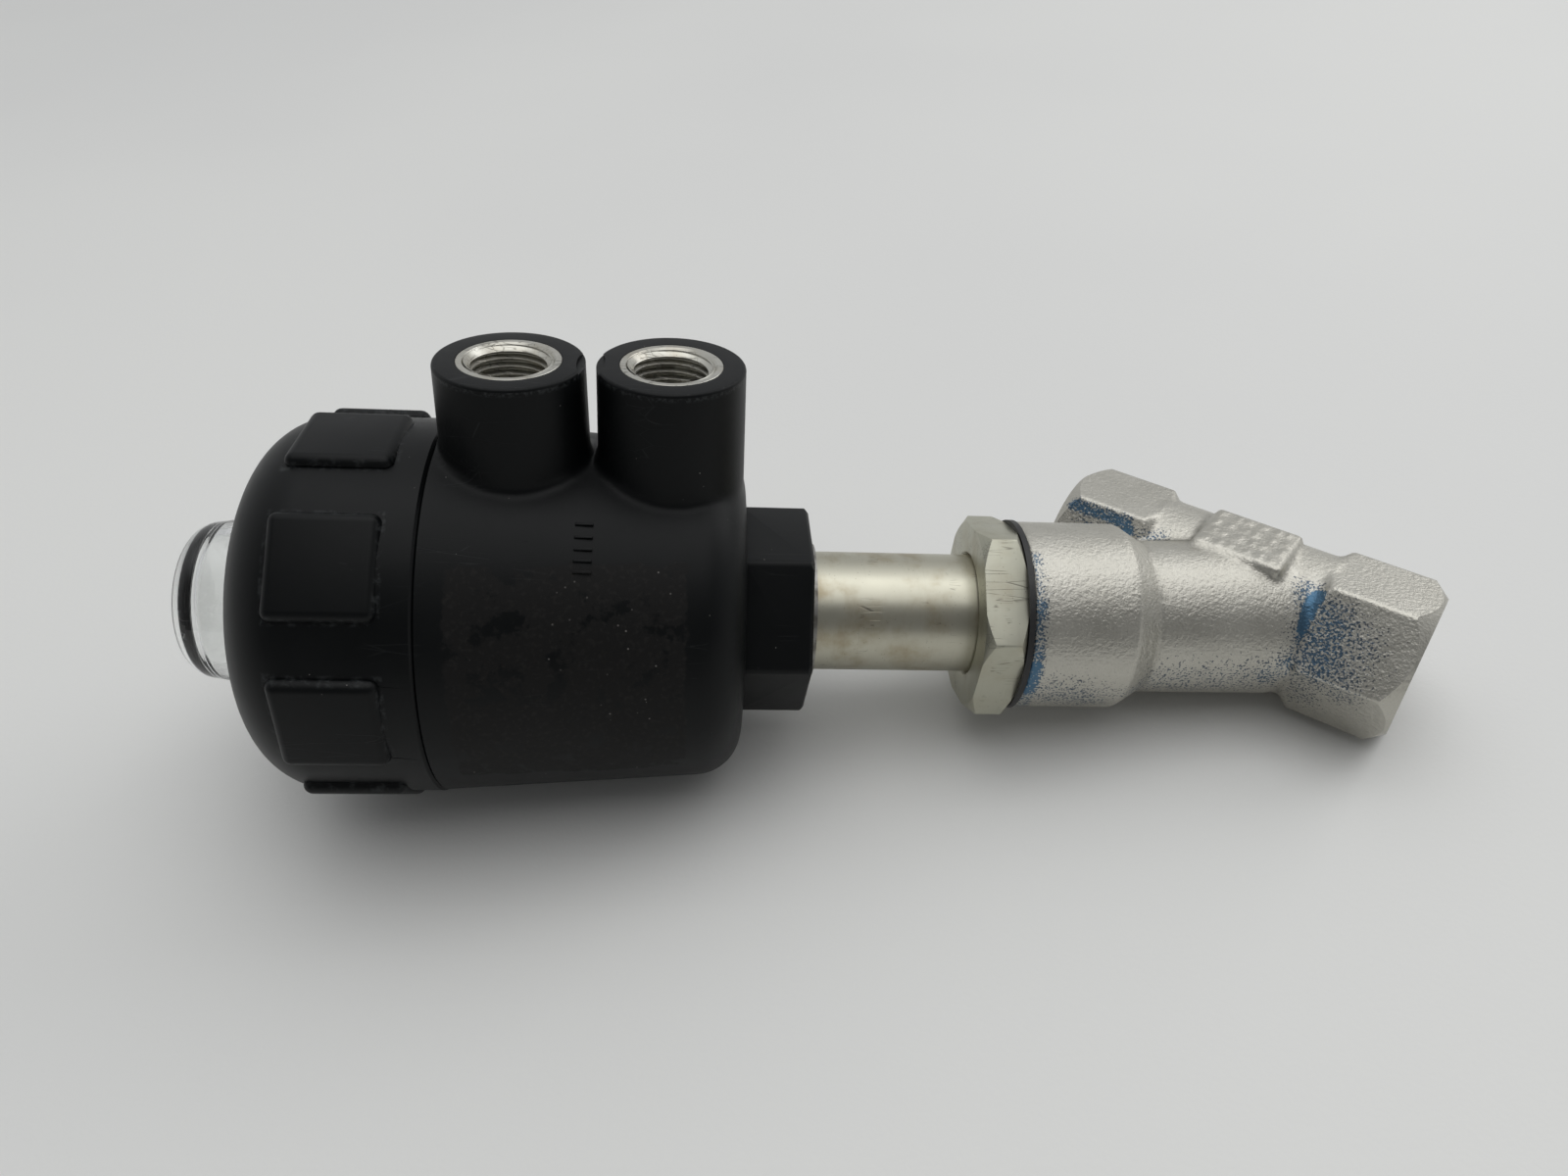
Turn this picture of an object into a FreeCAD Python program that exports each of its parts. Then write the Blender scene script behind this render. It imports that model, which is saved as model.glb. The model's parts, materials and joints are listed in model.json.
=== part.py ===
import FreeCAD, Part
import math
import os

# Air-operated angle seat valve, DN 15: a cast threaded body, a bonnet nipple with a spacer tube, and a
# spring-return piston actuator of 50 mm bore on top.
#
# All sub-parts are drawn in the stem frame, in millimetres. Its origin is where the stem axis crosses the
# flow axis, +X runs along the stem from the actuator towards the body, and +Z points out of the pilot ports.
# The row frame is the same frame moved so that its origin is the centre of the outlet port's face.

V = FreeCAD.Vector

# ---------------------------------------------------------------- named clearances
RUNNING = 0.05          # radial, a shaft or ring that slides or turns in a bore
LOOSE = 0.35            # radial, a piece that must not touch the piece it passes through
AXIAL_PLAY = 0.10       # end play of the turning actuator between its collar and its snap ring
PAST = 1.0              # how far a cutting tool runs past the face it cuts

# ---------------------------------------------------------------- body: driving sizes
BRANCH_ANGLE = 40.0     # degrees between the stem axis and the flow axis
OUTLET_LENGTH = 22.5    # from the axes' crossing to the outlet face, along the flow axis
INLET_LENGTH = 44.5     # from the axes' crossing to the inlet face
PORT_MINOR_R = 9.3155   # G 1/2 internal thread, crests (minor diameter 18.631)
PORT_WALL = 4.1845      # from the thread's crests to the flats of the port hexagon
OUTLET_HEX_LENGTH = 18.2
INLET_HEX_LENGTH = 17.5
HEX_MOUTH_CHAMFER = (3.2, 2.6)   # length along the flow axis, depth at the hexagon's corner
HEX_INNER_CHAMFER = (1.4, 1.6)
PORT_THREAD_LENGTH = 14.0
FLOW_TUBE_STEP = 0.25   # how far the flow tube stands out of the hexagons' flats
FLOW_BORE_R = 7.5
BODY_WALL = 3.4         # wall of the neck round the valve chamber
CHAMBER_R = 10.5
ORIFICE_R = 6.5
SEAT_X = -8.5           # the seat's lip, which faces the actuator
SEAT_LIP_HEIGHT = 1.5
SEAT_LIP_WIDTH = 1.3
SEAT_LIP_FLARE = 0.6    # how much wider the lip is at its root
WEB_THICKNESS = 3.0     # the web that carries the seat
NECK_WALL = 3.8         # wall of the neck round the bonnet's bore
NECK_HEIGHT = 53.3      # from the axes' crossing to the neck's face
NECK_LENGTH = 18.3      # its wide, cylindrical stretch
NECK_CONE = 4.7
NECK_CHAMFER = 0.5
THROAT_END = 2.5        # from the seat to where the throat starts to round off inside the flow tube
THROAT_ROUND = 8.0
BONNET_BORE_DEPTH = 12.3
PAD_START = -18.8       # raised marking pad on the flow tube, along the flow axis
PAD_LENGTH = 16.2
PAD_WIDTH = 15.4
PAD_OFFSET = -3.3       # its middle, across the flow axis
PAD_RISE = 1.1          # how far it stands above the tube's top line
PAD_CORNER = 1.0

# ---------------------------------------------------------------- bonnet and packing
GASKET_THICKNESS = 1.0
GASKET_OVERHANG = 0.3
NIPPLE_WALL = 2.4       # wall of the nipple's screwed end round the tube
NIPPLE_SHOULDER = 3.0   # from its screwed end out to the flats of its hexagon
NIPPLE_HEX_HEIGHT = 7.2
NIPPLE_TURN = -17.5     # degrees, where the hexagon stopped when it was tightened
NIPPLE_CHAMFER = (1.4, 1.9)
NIPPLE_LIP = 3.0
SPINDLE_R = 5.0
PACKING_DEPTH = 3.6     # from the spindle out to the tube's bore
TUBE_WALL = 2.0
TUBE_SHOWN = 29.0       # between the nipple and the actuator's hexagon
TUBE_END_STEP = 0.6     # how much narrower the bore is above the packing's shoulder
TUBE_LIP_GAP = 1.2      # round the spindle, in the shoulder that the packing is pushed against
TUBE_LIP_LENGTH = 10.0
TUBE_END_RISE = 1.5     # how far the tube stays below the housing's floor
AIR_SEAL_LENGTH = 3.4
COLLAR_LENGTH = 4.3     # from the housing's floor down to the collar's seat
BUSH_LENGTH = 8.0
PACKING_RINGS = 3
PACKING_RING_PITCH = 2.2
PACKING_RING_SLOPE = 1.0
SUPPORT_LENGTH = 2.5
PACKING_WIRE_R = 0.8
PACKING_SPRING_LENGTH = 18.0
PACKING_SPRING_TURNS = 6
CIRCLIP_THICKNESS = 1.2
CIRCLIP_DEPTH = 0.7
CIRCLIP_INSET = 3.0     # from the tube's foot
SNAP_RING_THICKNESS = 0.9
SNAP_RING_RISE = 1.3
SNAP_RING_DEPTH = 0.6
SNAP_RING_GAP = 4.0
COLLAR_LIP = 1.2
AIR_SEAL_LIP = 0.6

# ---------------------------------------------------------------- actuator: driving sizes
PISTON_BORE_R = 25.0
HOUSING_WALL = 4.4      # round the piston bore, at the spigot and at the foot
HOUSING_STEP = 2.7      # from the spigot out to the barrel at the joint with the cover
HOUSING_LENGTH = 50.0   # from the joint with the cover to the end of the barrel
HOUSING_ROUND = 8.0
FLOOR_THICKNESS = 8.5
COLLAR_WALL = 3.6       # round the tube, with the room that it turns in
HEX_WALL = 5.4          # from the tube to the flats of the actuator's hexagon
HEX_LENGTH = 11.5
HEX_END_CHAMFER = (0.9, 1.2)
SPIGOT_LENGTH = 11.0
STROKE = 9.0
PORT_INSETS = (37.6, 12.6)   # from the end of the barrel to the two pilot ports
BOSS_RISE = 14.0        # above the barrel's largest radius
BOSS_WALL = 3.5         # round the insert, at the top
BOSS_TAPER = 0.45
PILOT_WALL = 2.4275     # from the thread's crests to the insert's outside
INSERT_LENGTH = 12.0
INSERT_GROOVE = (4.0, 6.0)   # heights above the insert's foot
INSERT_GROOVE_DEPTH = 0.8
PILOT_MINOR_R = 5.7225  # G 1/4 internal thread, crests (minor diameter 11.445)
PILOT_THREAD_LENGTH = 11.0
AIR_HOLE_R = 3.0
O_RING_R = 0.9          # half the cord of every O-ring
O_RING_GROOVE = 2.4     # width of every O-ring groove
O_RING_SQUEEZE = 0.01
COVER_SEAL_INSET = 3.0  # from the spigot's end to its O-ring

COVER_STEP = 0.2        # how far the cover stands out of the barrel
COVER_DEPTH = 23.0      # from the joint to the inner face that the springs push against
COVER_FRONT = 7.8       # thickness of its front
COVER_ROUND = 12.4
COVER_BORE_STEP = 1.0   # how much wider its cavity is than the piston bore
COVER_CAVITY_CORNER = 4.0
COVER_TURN = 1.0        # degrees, where the screwed cover stopped
COVER_PADS = 8
COVER_PAD_INSET = 5.0   # from the joint to the pads
COVER_PAD_LENGTH = 16.6
COVER_PAD_WIDTH = 16.6
COVER_PAD_RISE = 0.7
COVER_PAD_CORNER = 1.6
COVER_PAD_EDGE = 0.6
DOME_R = 15.2           # at the cover's face and in its pocket
DOME_TAPER = 1.6        # how much narrower it is where the front edge starts to round
DOME_WALL = 1.9
DOME_FRONT_WALL = 3.6
DOME_HEIGHT = 13.2      # above the cover's face
DOME_ROUND = 4.4
DOME_SEAT_DEPTH = 5.3

# ---------------------------------------------------------------- moving group
PISTON_GAP = 6.5        # from the housing's floor to the closed piston
PISTON_THICKNESS = 11.0
PISTON_HUB_WALL = 7.0
PISTON_HUB_HEIGHT = 5.0
SPINDLE_NECK_STEP = 1.0   # how much thinner the spindle is in the piston
PISTON_NUT_FLATS = 13.0
PISTON_NUT_HEIGHT = 6.5
PISTON_WASHER_WALL = 4.0
PISTON_WASHER_THICKNESS = 1.2
PISTON_NUT_CHAMFER = (0.7, 0.8)
SEAL_GROOVE_PLACE = (1.5, 5.0)    # from the piston's upper face
SEAL_GROOVE_DEPTH = 3.6
GUIDE_GROOVE_PLACE = (6.5, 9.5)
GUIDE_GROOVE_DEPTH = 2.0
INDICATOR_WALL = 2.0
INDICATOR_INSET = 1.8   # of the closed indicator behind the cover's face
INDICATOR_THREAD = 7.0  # how deep the spindle's end reaches into it
INDICATOR_GAP = 0.8     # between the nut and the indicator
SMALL_CHAMFER = 0.5
OUTER_SPRING_GAP = 6.0  # from the piston bore in to the middle of its wire
OUTER_WIRE_R = 1.7
OUTER_SPRING_TURNS = 6
INNER_SPRING_GAP = 6.4  # from one spring's wire to the other's
INNER_WIRE_R = 1.2
INNER_SPRING_TURNS = 9
PLUG_GAP = 1.3          # from the chamber's wall to the plug
PLUG_SEAL_THICKNESS = 2.7
PLUG_DISC_THICKNESS = 3.8
PLUG_BOSS_WALL = 3.0
PLUG_BOSS_LENGTH = 9.0
PLUG_PIN_R = 1.25
RETAINER_STUD_R = 2.5
RETAINER_HEAD = 2.4     # how far it reaches into the orifice
RETAINER_TIP_R = 3.6
RETAINER_STEP = 1.4     # from the orifice's wall in to the hub that centres the seal
RETAINER_SLOT = 1.2

# ---------------------------------------------------------------- derived places along the stem
PORT_FLATS = 2 * (PORT_MINOR_R + PORT_WALL)
FLOW_TUBE_R = PORT_FLATS / 2 + FLOW_TUBE_STEP
TUBE_BORE_R = SPINDLE_R + PACKING_DEPTH
TUBE_R = TUBE_BORE_R + TUBE_WALL
TUBE_END_BORE_R = TUBE_BORE_R - TUBE_END_STEP
TUBE_LIP_R = SPINDLE_R + TUBE_LIP_GAP
BONNET_BORE_R = TUBE_R + NIPPLE_WALL
NIPPLE_FLATS = 2 * (BONNET_BORE_R + NIPPLE_SHOULDER)
NECK_R = BONNET_BORE_R + NECK_WALL
NECK_TOP_X = -NECK_HEIGHT
THROAT_END_X = SEAT_X + THROAT_END
CHAMBER_FLOOR_X = SEAT_X + SEAT_LIP_HEIGHT
WEB_UNDER_X = CHAMBER_FLOOR_X + WEB_THICKNESS
THROAT_R = CHAMBER_R + BODY_WALL
NECK_CONE_X = NECK_TOP_X + NECK_LENGTH
BONNET_FLOOR_X = NECK_TOP_X + BONNET_BORE_DEPTH
NIPPLE_FACE_X = NECK_TOP_X - GASKET_THICKNESS
NIPPLE_TOP_X = NIPPLE_FACE_X - NIPPLE_HEX_HEIGHT
HEX_END_X = NIPPLE_TOP_X - TUBE_SHOWN
HOUSING_END_X = HEX_END_X - HEX_LENGTH
FLOOR_X = HOUSING_END_X - FLOOR_THICKNESS
TUBE_FOOT_X = BONNET_FLOOR_X - NIPPLE_LIP
TUBE_TOP_X = FLOOR_X + TUBE_END_RISE
TUBE_LIP_X = TUBE_TOP_X + AIR_SEAL_LENGTH
PACKING_TOP_X = TUBE_LIP_X + TUBE_LIP_LENGTH
CIRCLIP_X = TUBE_FOOT_X - CIRCLIP_INSET
COLLAR_UNDER_X = FLOOR_X + COLLAR_LENGTH
POCKET_R = TUBE_R + COLLAR_WALL
HEX_FLATS = 2 * (TUBE_R + HEX_WALL)
SPIGOT_R = PISTON_BORE_R + HOUSING_WALL
HOUSING_R = SPIGOT_R + HOUSING_STEP
HOUSING_FOOT_R = PISTON_BORE_R + HOUSING_WALL
HOUSING_JOINT_X = HOUSING_END_X - HOUSING_LENGTH
PORT_X = tuple(HOUSING_END_X - inset for inset in PORT_INSETS)
INSERT_R = PILOT_MINOR_R + PILOT_WALL
BOSS_TOP_R = INSERT_R + BOSS_WALL
BOSS_FOOT_R = BOSS_TOP_R + BOSS_TAPER
BOSS_TOP_Z = HOUSING_R + BOSS_RISE
COVER_R = HOUSING_R + COVER_STEP
COVER_SEAT_X = HOUSING_JOINT_X - COVER_DEPTH
COVER_END_X = COVER_SEAT_X - COVER_FRONT
COVER_CAVITY_R = PISTON_BORE_R + COVER_BORE_STEP
COVER_PAD_START_X = HOUSING_JOINT_X - COVER_PAD_INSET
COVER_PAD_TOP = COVER_R + COVER_PAD_RISE
DOME_FRONT_R = DOME_R - DOME_TAPER
DOME_END_X = COVER_END_X - DOME_HEIGHT
DOME_SEAT_X = COVER_END_X + DOME_SEAT_DEPTH
SPINDLE_NECK_R = SPINDLE_R - SPINDLE_NECK_STEP
PISTON_BOTTOM_X = FLOOR_X - PISTON_GAP
PISTON_HUB_R = SPINDLE_R + PISTON_HUB_WALL
PISTON_HUB_X = PISTON_BOTTOM_X + PISTON_HUB_HEIGHT
PISTON_WASHER_R = SPINDLE_NECK_R + PISTON_WASHER_WALL
PISTON_TOP_X = PISTON_BOTTOM_X - PISTON_THICKNESS
SEAL_GROOVE = tuple(PISTON_TOP_X + place for place in SEAL_GROOVE_PLACE)
SEAL_GROOVE_R = PISTON_BORE_R - SEAL_GROOVE_DEPTH
GUIDE_GROOVE = tuple(PISTON_TOP_X + place for place in GUIDE_GROOVE_PLACE)
GUIDE_GROOVE_R = PISTON_BORE_R - GUIDE_GROOVE_DEPTH
OUTER_SPRING_R = PISTON_BORE_R - OUTER_SPRING_GAP
INNER_SPRING_R = OUTER_SPRING_R - INNER_SPRING_GAP
PISTON_NUT_X = PISTON_TOP_X - PISTON_WASHER_THICKNESS
INDICATOR_FOOT_X = PISTON_NUT_X - PISTON_NUT_HEIGHT - INDICATOR_GAP
SPINDLE_TOP_X = INDICATOR_FOOT_X - INDICATOR_THREAD
INDICATOR_R = SPINDLE_NECK_R + INDICATOR_WALL
INDICATOR_TOP_X = COVER_END_X + INDICATOR_INSET
PLUG_R = CHAMBER_R - PLUG_GAP
PLUG_BOSS_R = SPINDLE_R + PLUG_BOSS_WALL
PLUG_FACE_X = SEAT_X - PLUG_SEAL_THICKNESS
PLUG_BOSS_X = PLUG_FACE_X - PLUG_DISC_THICKNESS
PLUG_TOP_X = PLUG_BOSS_X - PLUG_BOSS_LENGTH
SPINDLE_FOOT_X = PLUG_BOSS_X - 1.0
PLUG_PIN_X = PLUG_BOSS_X - 0.55 * PLUG_BOSS_LENGTH
INSERT_FOOT_Z = BOSS_TOP_Z - INSERT_LENGTH
SNAP_RING_X = HEX_END_X + AXIAL_PLAY
HOUSING_SEAL_X = 0.5 * (HOUSING_END_X + HEX_END_X)
COVER_SEAL_X = HOUSING_JOINT_X - SPIGOT_LENGTH + COVER_SEAL_INSET
SLEEVE_R = TUBE_R + RUNNING

FLOW = V(math.cos(math.radians(BRANCH_ANGLE)), -math.sin(math.radians(BRANCH_ANGLE)), 0)
ROW_SHIFT = V(-OUTLET_LENGTH * FLOW.x, -OUTLET_LENGTH * FLOW.y, 0)
X_AXIS = V(1, 0, 0)
Z_AXIS = V(0, 0, 1)
ORIGIN = V(0, 0, 0)


# ---------------------------------------------------------------- shape helpers
def outline(start, *steps):
    """A closed outline in the (x, radius) plane. A step is a point, or a pair (point on an arc, its end)."""
    edges = []
    here = V(start[0], start[1], 0)
    for step in steps:
        if isinstance(step[0], tuple):
            middle = V(step[0][0], step[0][1], 0)
            there = V(step[1][0], step[1][1], 0)
            edges.append(Part.Arc(here, middle, there).toShape())
        else:
            there = V(step[0], step[1], 0)
            edges.append(Part.LineSegment(here, there).toShape())
        here = there
    first = V(start[0], start[1], 0)
    if here.distanceToPoint(first) > 1e-6:
        edges.append(Part.LineSegment(here, first).toShape())
    return Part.Wire(edges)


def turned(start, *steps):
    """The solid that an outline sweeps in one turn about the stem axis."""
    return Part.Face(outline(start, *steps)).revolve(ORIGIN, X_AXIS, 360)


def rod(x0, x1, radius):
    return Part.makeCylinder(radius, abs(x1 - x0), V(min(x0, x1), 0, 0), X_AXIS)


def ring(x0, x1, outer, inner):
    return rod(x0, x1, outer).cut(rod(min(x0, x1) - PAST, max(x0, x1) + PAST, inner))


def post(x, z0, z1, radius_low, radius_high=None):
    """A round post along Z at x, straight or tapered."""
    if radius_high is None or radius_high == radius_low:
        return Part.makeCylinder(radius_low, z1 - z0, V(x, 0, z0), Z_AXIS)
    return Part.makeCone(radius_low, radius_high, z1 - z0, V(x, 0, z0), Z_AXIS)


def hexagon(x0, x1, across_flats, turn=0.0):
    """A hexagonal prism along X with one flat facing +Z, turned about X."""
    corner_r = across_flats / 2 / math.cos(math.radians(30))
    points = []
    for k in range(7):
        angle = math.radians(30 + 60 * k)
        points.append(V(x0, corner_r * math.sin(angle), corner_r * math.cos(angle)))
    prism = Part.Face(Part.makePolygon(points)).extrude(V(x1 - x0, 0, 0))
    prism.rotate(ORIGIN, X_AXIS, turn)
    return prism


def chamfered_hexagon(x0, x1, across_flats, turn, low, high):
    """A hexagon with its corners turned off: low and high are (length along X, depth at the corner)."""
    corner_r = across_flats / 2 / math.cos(math.radians(30))
    envelope = turned(
        (x0, 0),
        (x0, corner_r - low[1]),
        (x0 + low[0], corner_r),
        (x0 + low[0], corner_r + PAST),
        (x1 - high[0], corner_r + PAST),
        (x1 - high[0], corner_r),
        (x1, corner_r - high[1]),
        (x1, 0),
    )
    return hexagon(x0, x1, across_flats, turn).common(envelope)


def torus(x, ring_r, cord_r):
    return Part.makeTorus(ring_r, cord_r, V(x, 0, 0), X_AXIS)


def coil(x0, x1, coil_r, wire_r, turns):
    """A round-wire compression spring between two faces, with the wire's skin on both."""
    height = abs(x1 - x0) - 2 * wire_r
    pitch = height / turns
    helix = Part.makeHelix(pitch, height, coil_r)
    lead = pitch / (2 * math.pi * coil_r)
    section = Part.Wire(Part.makeCircle(wire_r, V(coil_r, 0, 0), V(0, 1, lead)))
    spring = Part.Wire(helix.Edges).makePipeShell([section], True, True)
    spring.rotate(ORIGIN, V(0, 1, 0), 90)
    spring.translate(V(min(x0, x1) + wire_r, 0, 0))
    return spring


def along_flow(shape):
    """Turns a shape drawn along X so that it lies along the flow axis, outlet side towards +X."""
    shape.rotate(ORIGIN, Z_AXIS, -BRANCH_ANGLE)
    return shape


def half_space(x_from, x_to):
    """A big block between two planes across the stem."""
    size = 200.0
    return Part.makeBox(abs(x_to - x_from), size, size, V(min(x_from, x_to), -size / 2, -size / 2))


def save(name, shape):
    """Writes one node in the row frame."""
    solid = shape.removeSplitter() if shape.ShapeType != "Solid" else shape
    solid = solid.copy()
    solid.translate(ROW_SHIFT)
    if not solid.isValid():
        raise RuntimeError(name + " is not a valid solid")
    solid.exportStep(os.path.join("parts", name + ".step"))
    print("%-22s %d solid(s) %10.1f mm3" % (name, len(solid.Solids), solid.Volume))


# ---------------------------------------------------------------- valve body
def port_hexagons():
    inner, mouth = HEX_INNER_CHAMFER, HEX_MOUTH_CHAMFER
    start = OUTLET_LENGTH - OUTLET_HEX_LENGTH
    outlet = chamfered_hexagon(start, OUTLET_LENGTH, PORT_FLATS, 0, inner, mouth)
    end = INLET_HEX_LENGTH - INLET_LENGTH
    inlet = chamfered_hexagon(-INLET_LENGTH, end, PORT_FLATS, 0, mouth, inner)
    return along_flow(outlet).fuse(along_flow(inlet))


def neck():
    """The bonnet neck and the throat that runs down into the flow tube and ends rounded inside it."""
    centre_r = THROAT_R - THROAT_ROUND
    side = THROAT_ROUND * math.sqrt(0.5)
    return turned(
        (NECK_TOP_X, 0),
        (NECK_TOP_X, NECK_R - NECK_CHAMFER),
        (NECK_TOP_X + NECK_CHAMFER, NECK_R),
        (NECK_CONE_X, NECK_R),
        (NECK_CONE_X + NECK_CONE, THROAT_R),
        (THROAT_END_X, THROAT_R),
        ((THROAT_END_X + side, centre_r + side), (THROAT_END_X + THROAT_ROUND, centre_r)),
        (THROAT_END_X + THROAT_ROUND, 0),
    )


def marking_pad():
    """The raised pad on top of the flow tube."""
    top = FLOW_TUBE_R + PAD_RISE
    low = 0.4 * FLOW_TUBE_R
    corner_point = V(PAD_START, PAD_OFFSET - PAD_WIDTH / 2, low)
    pad = Part.makeBox(PAD_LENGTH, PAD_WIDTH, top - low, corner_point)
    upright = [e for e in pad.Edges if abs(e.tangentAt(e.FirstParameter).z) > 0.9]
    return along_flow(pad.makeFillet(PAD_CORNER, upright))


def body_hollow():
    """Everything that is machined or cored out of the body."""
    chamber = turned(
        (NECK_TOP_X - PAST, 0),
        (NECK_TOP_X - PAST, BONNET_BORE_R),
        (BONNET_FLOOR_X, BONNET_BORE_R),
        (BONNET_FLOOR_X, CHAMBER_R),
        (CHAMBER_FLOOR_X, CHAMBER_R),
        (CHAMBER_FLOOR_X, ORIFICE_R + SEAT_LIP_WIDTH + SEAT_LIP_FLARE),
        (SEAT_X, ORIFICE_R + SEAT_LIP_WIDTH),
        (SEAT_X, ORIFICE_R),
        (WEB_UNDER_X + 1.0, ORIFICE_R),
        (WEB_UNDER_X + 1.0, 0),
    )
    inlet = along_flow(rod(-INLET_LENGTH - PAST, 0, FLOW_BORE_R))
    inlet = inlet.common(half_space(-100, SEAT_X - 0.1))
    outlet = along_flow(rod(-INLET_LENGTH / 2, OUTLET_LENGTH + PAST, FLOW_BORE_R))
    outlet = outlet.common(half_space(WEB_UNDER_X, 100))
    inlet_thread = rod(-INLET_LENGTH - PAST, -INLET_LENGTH + PORT_THREAD_LENGTH, PORT_MINOR_R)
    outlet_thread = rod(OUTLET_LENGTH - PORT_THREAD_LENGTH, OUTLET_LENGTH + PAST, PORT_MINOR_R)
    return [chamber, inlet, outlet, along_flow(inlet_thread), along_flow(outlet_thread)]


def valve_body():
    # the tube ends inside the tapered ends of the hexagons, so that their flats stay flat
    inlet_end = INLET_HEX_LENGTH - HEX_INNER_CHAMFER[0] / 2 - INLET_LENGTH
    outlet_end = OUTLET_LENGTH - OUTLET_HEX_LENGTH + HEX_INNER_CHAMFER[0] / 2
    tube = along_flow(rod(inlet_end, outlet_end, FLOW_TUBE_R))
    body = tube.fuse([port_hexagons(), neck(), marking_pad()])
    return body.cut(body_hollow())


# ---------------------------------------------------------------- bonnet
def body_gasket():
    return ring(NIPPLE_FACE_X, NECK_TOP_X, NECK_R + GASKET_OVERHANG, BONNET_BORE_R + 2 * RUNNING)


def bonnet_nipple():
    chamfer = NIPPLE_CHAMFER
    head = chamfered_hexagon(NIPPLE_TOP_X, NIPPLE_FACE_X, NIPPLE_FLATS, NIPPLE_TURN, chamfer, chamfer)
    spigot = rod(NIPPLE_FACE_X, BONNET_FLOOR_X, BONNET_BORE_R)
    bore = rod(NIPPLE_TOP_X - PAST, TUBE_FOOT_X, TUBE_R)
    mouth = rod(TUBE_FOOT_X, BONNET_FLOOR_X + PAST, TUBE_END_BORE_R)
    return head.fuse(spigot).cut([bore, mouth])


def spacer_tube():
    """The tube between the body and the actuator, with the packing's shoulder near its top."""
    return turned(
        (TUBE_TOP_X, TUBE_END_BORE_R),
        (TUBE_TOP_X, TUBE_R),
        (SNAP_RING_X, TUBE_R),
        (SNAP_RING_X, TUBE_R - SNAP_RING_DEPTH),
        (SNAP_RING_X + SNAP_RING_THICKNESS, TUBE_R - SNAP_RING_DEPTH),
        (SNAP_RING_X + SNAP_RING_THICKNESS, TUBE_R),
        (TUBE_FOOT_X, TUBE_R),
        (TUBE_FOOT_X, TUBE_BORE_R),
        (CIRCLIP_X + CIRCLIP_THICKNESS, TUBE_BORE_R),
        (CIRCLIP_X + CIRCLIP_THICKNESS, TUBE_BORE_R + CIRCLIP_DEPTH),
        (CIRCLIP_X, TUBE_BORE_R + CIRCLIP_DEPTH),
        (CIRCLIP_X, TUBE_BORE_R),
        (PACKING_TOP_X, TUBE_BORE_R),
        (PACKING_TOP_X, TUBE_LIP_R),
        (TUBE_LIP_X, TUBE_LIP_R),
        (TUBE_LIP_X, TUBE_END_BORE_R),
    )


def snap_ring():
    """The visible ring under the actuator's hexagon; its gap faces away from the ports."""
    end = SNAP_RING_X + SNAP_RING_THICKNESS
    band = ring(SNAP_RING_X, end, TUBE_R + SNAP_RING_RISE, TUBE_R - SNAP_RING_DEPTH)
    start = V(SNAP_RING_X - PAST, -SNAP_RING_GAP / 2, -TUBE_R - SNAP_RING_RISE - PAST)
    gap = Part.makeBox(SNAP_RING_THICKNESS + 2 * PAST, SNAP_RING_GAP, TUBE_R, start)
    return band.cut(gap)


def tube_collar():
    """The threaded collar that keeps the actuator on the tube and covers the air seal."""
    lip_x = TUBE_TOP_X - COLLAR_LIP
    return turned(
        (lip_x, SPINDLE_R + 2 * LOOSE),
        (lip_x, POCKET_R - 2 * LOOSE),
        (COLLAR_UNDER_X - AXIAL_PLAY, POCKET_R - 2 * LOOSE),
        (COLLAR_UNDER_X - AXIAL_PLAY, TUBE_R),
        (TUBE_TOP_X, TUBE_R),
        (TUBE_TOP_X, SPINDLE_R + 2 * LOOSE),
    )


def spindle_air_seal():
    """Lip seal at the tube's top, which keeps the control air in the actuator."""
    return turned(
        (TUBE_TOP_X, SPINDLE_R + 2 * AIR_SEAL_LIP),
        (TUBE_TOP_X, TUBE_END_BORE_R),
        (TUBE_LIP_X, TUBE_END_BORE_R),
        (TUBE_LIP_X, SPINDLE_R + AIR_SEAL_LIP),
        (TUBE_TOP_X + 2 * AIR_SEAL_LIP, SPINDLE_R + RUNNING),
        (TUBE_TOP_X + 2 * AIR_SEAL_LIP - AIR_SEAL_LIP, SPINDLE_R + RUNNING),
    )


def packing():
    """The stack inside the tube, in order from its shoulder down to the circlip."""
    inner = SPINDLE_R + RUNNING
    outer = TUBE_BORE_R
    middle = 0.5 * (inner + outer)
    slope = PACKING_RING_SLOPE
    x = PACKING_TOP_X
    pieces = {"upper_guide_bush": ring(x, x + BUSH_LENGTH, outer, inner)}
    x += BUSH_LENGTH
    pieces["upper_support_ring"] = turned(
        (x, inner),
        (x, outer),
        (x + SUPPORT_LENGTH, outer),
        (x + SUPPORT_LENGTH - slope, middle),
        (x + SUPPORT_LENGTH, inner),
    )
    x += SUPPORT_LENGTH
    for k in range(PACKING_RINGS):
        pieces["packing_ring_%d" % (k + 1)] = turned(
            (x, inner),
            (x - slope, middle),
            (x, outer),
            (x + PACKING_RING_PITCH, outer),
            (x + PACKING_RING_PITCH - slope, middle),
            (x + PACKING_RING_PITCH, inner),
        )
        x += PACKING_RING_PITCH
    pieces["lower_support_ring"] = turned(
        (x, inner), (x - slope, middle), (x, outer), (x + SUPPORT_LENGTH, outer), (x + SUPPORT_LENGTH, inner)
    )
    x += SUPPORT_LENGTH
    bush_x = CIRCLIP_X - BUSH_LENGTH
    pieces["packing_spring"] = coil(x, bush_x, middle, PACKING_WIRE_R, PACKING_SPRING_TURNS)
    pieces["lower_guide_bush"] = ring(bush_x, bush_x + BUSH_LENGTH, outer, inner)
    circlip_end = CIRCLIP_X + CIRCLIP_THICKNESS
    pieces["packing_circlip"] = ring(CIRCLIP_X, circlip_end, outer + CIRCLIP_DEPTH, SPINDLE_R + 2 * LOOSE)
    return pieces


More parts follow.
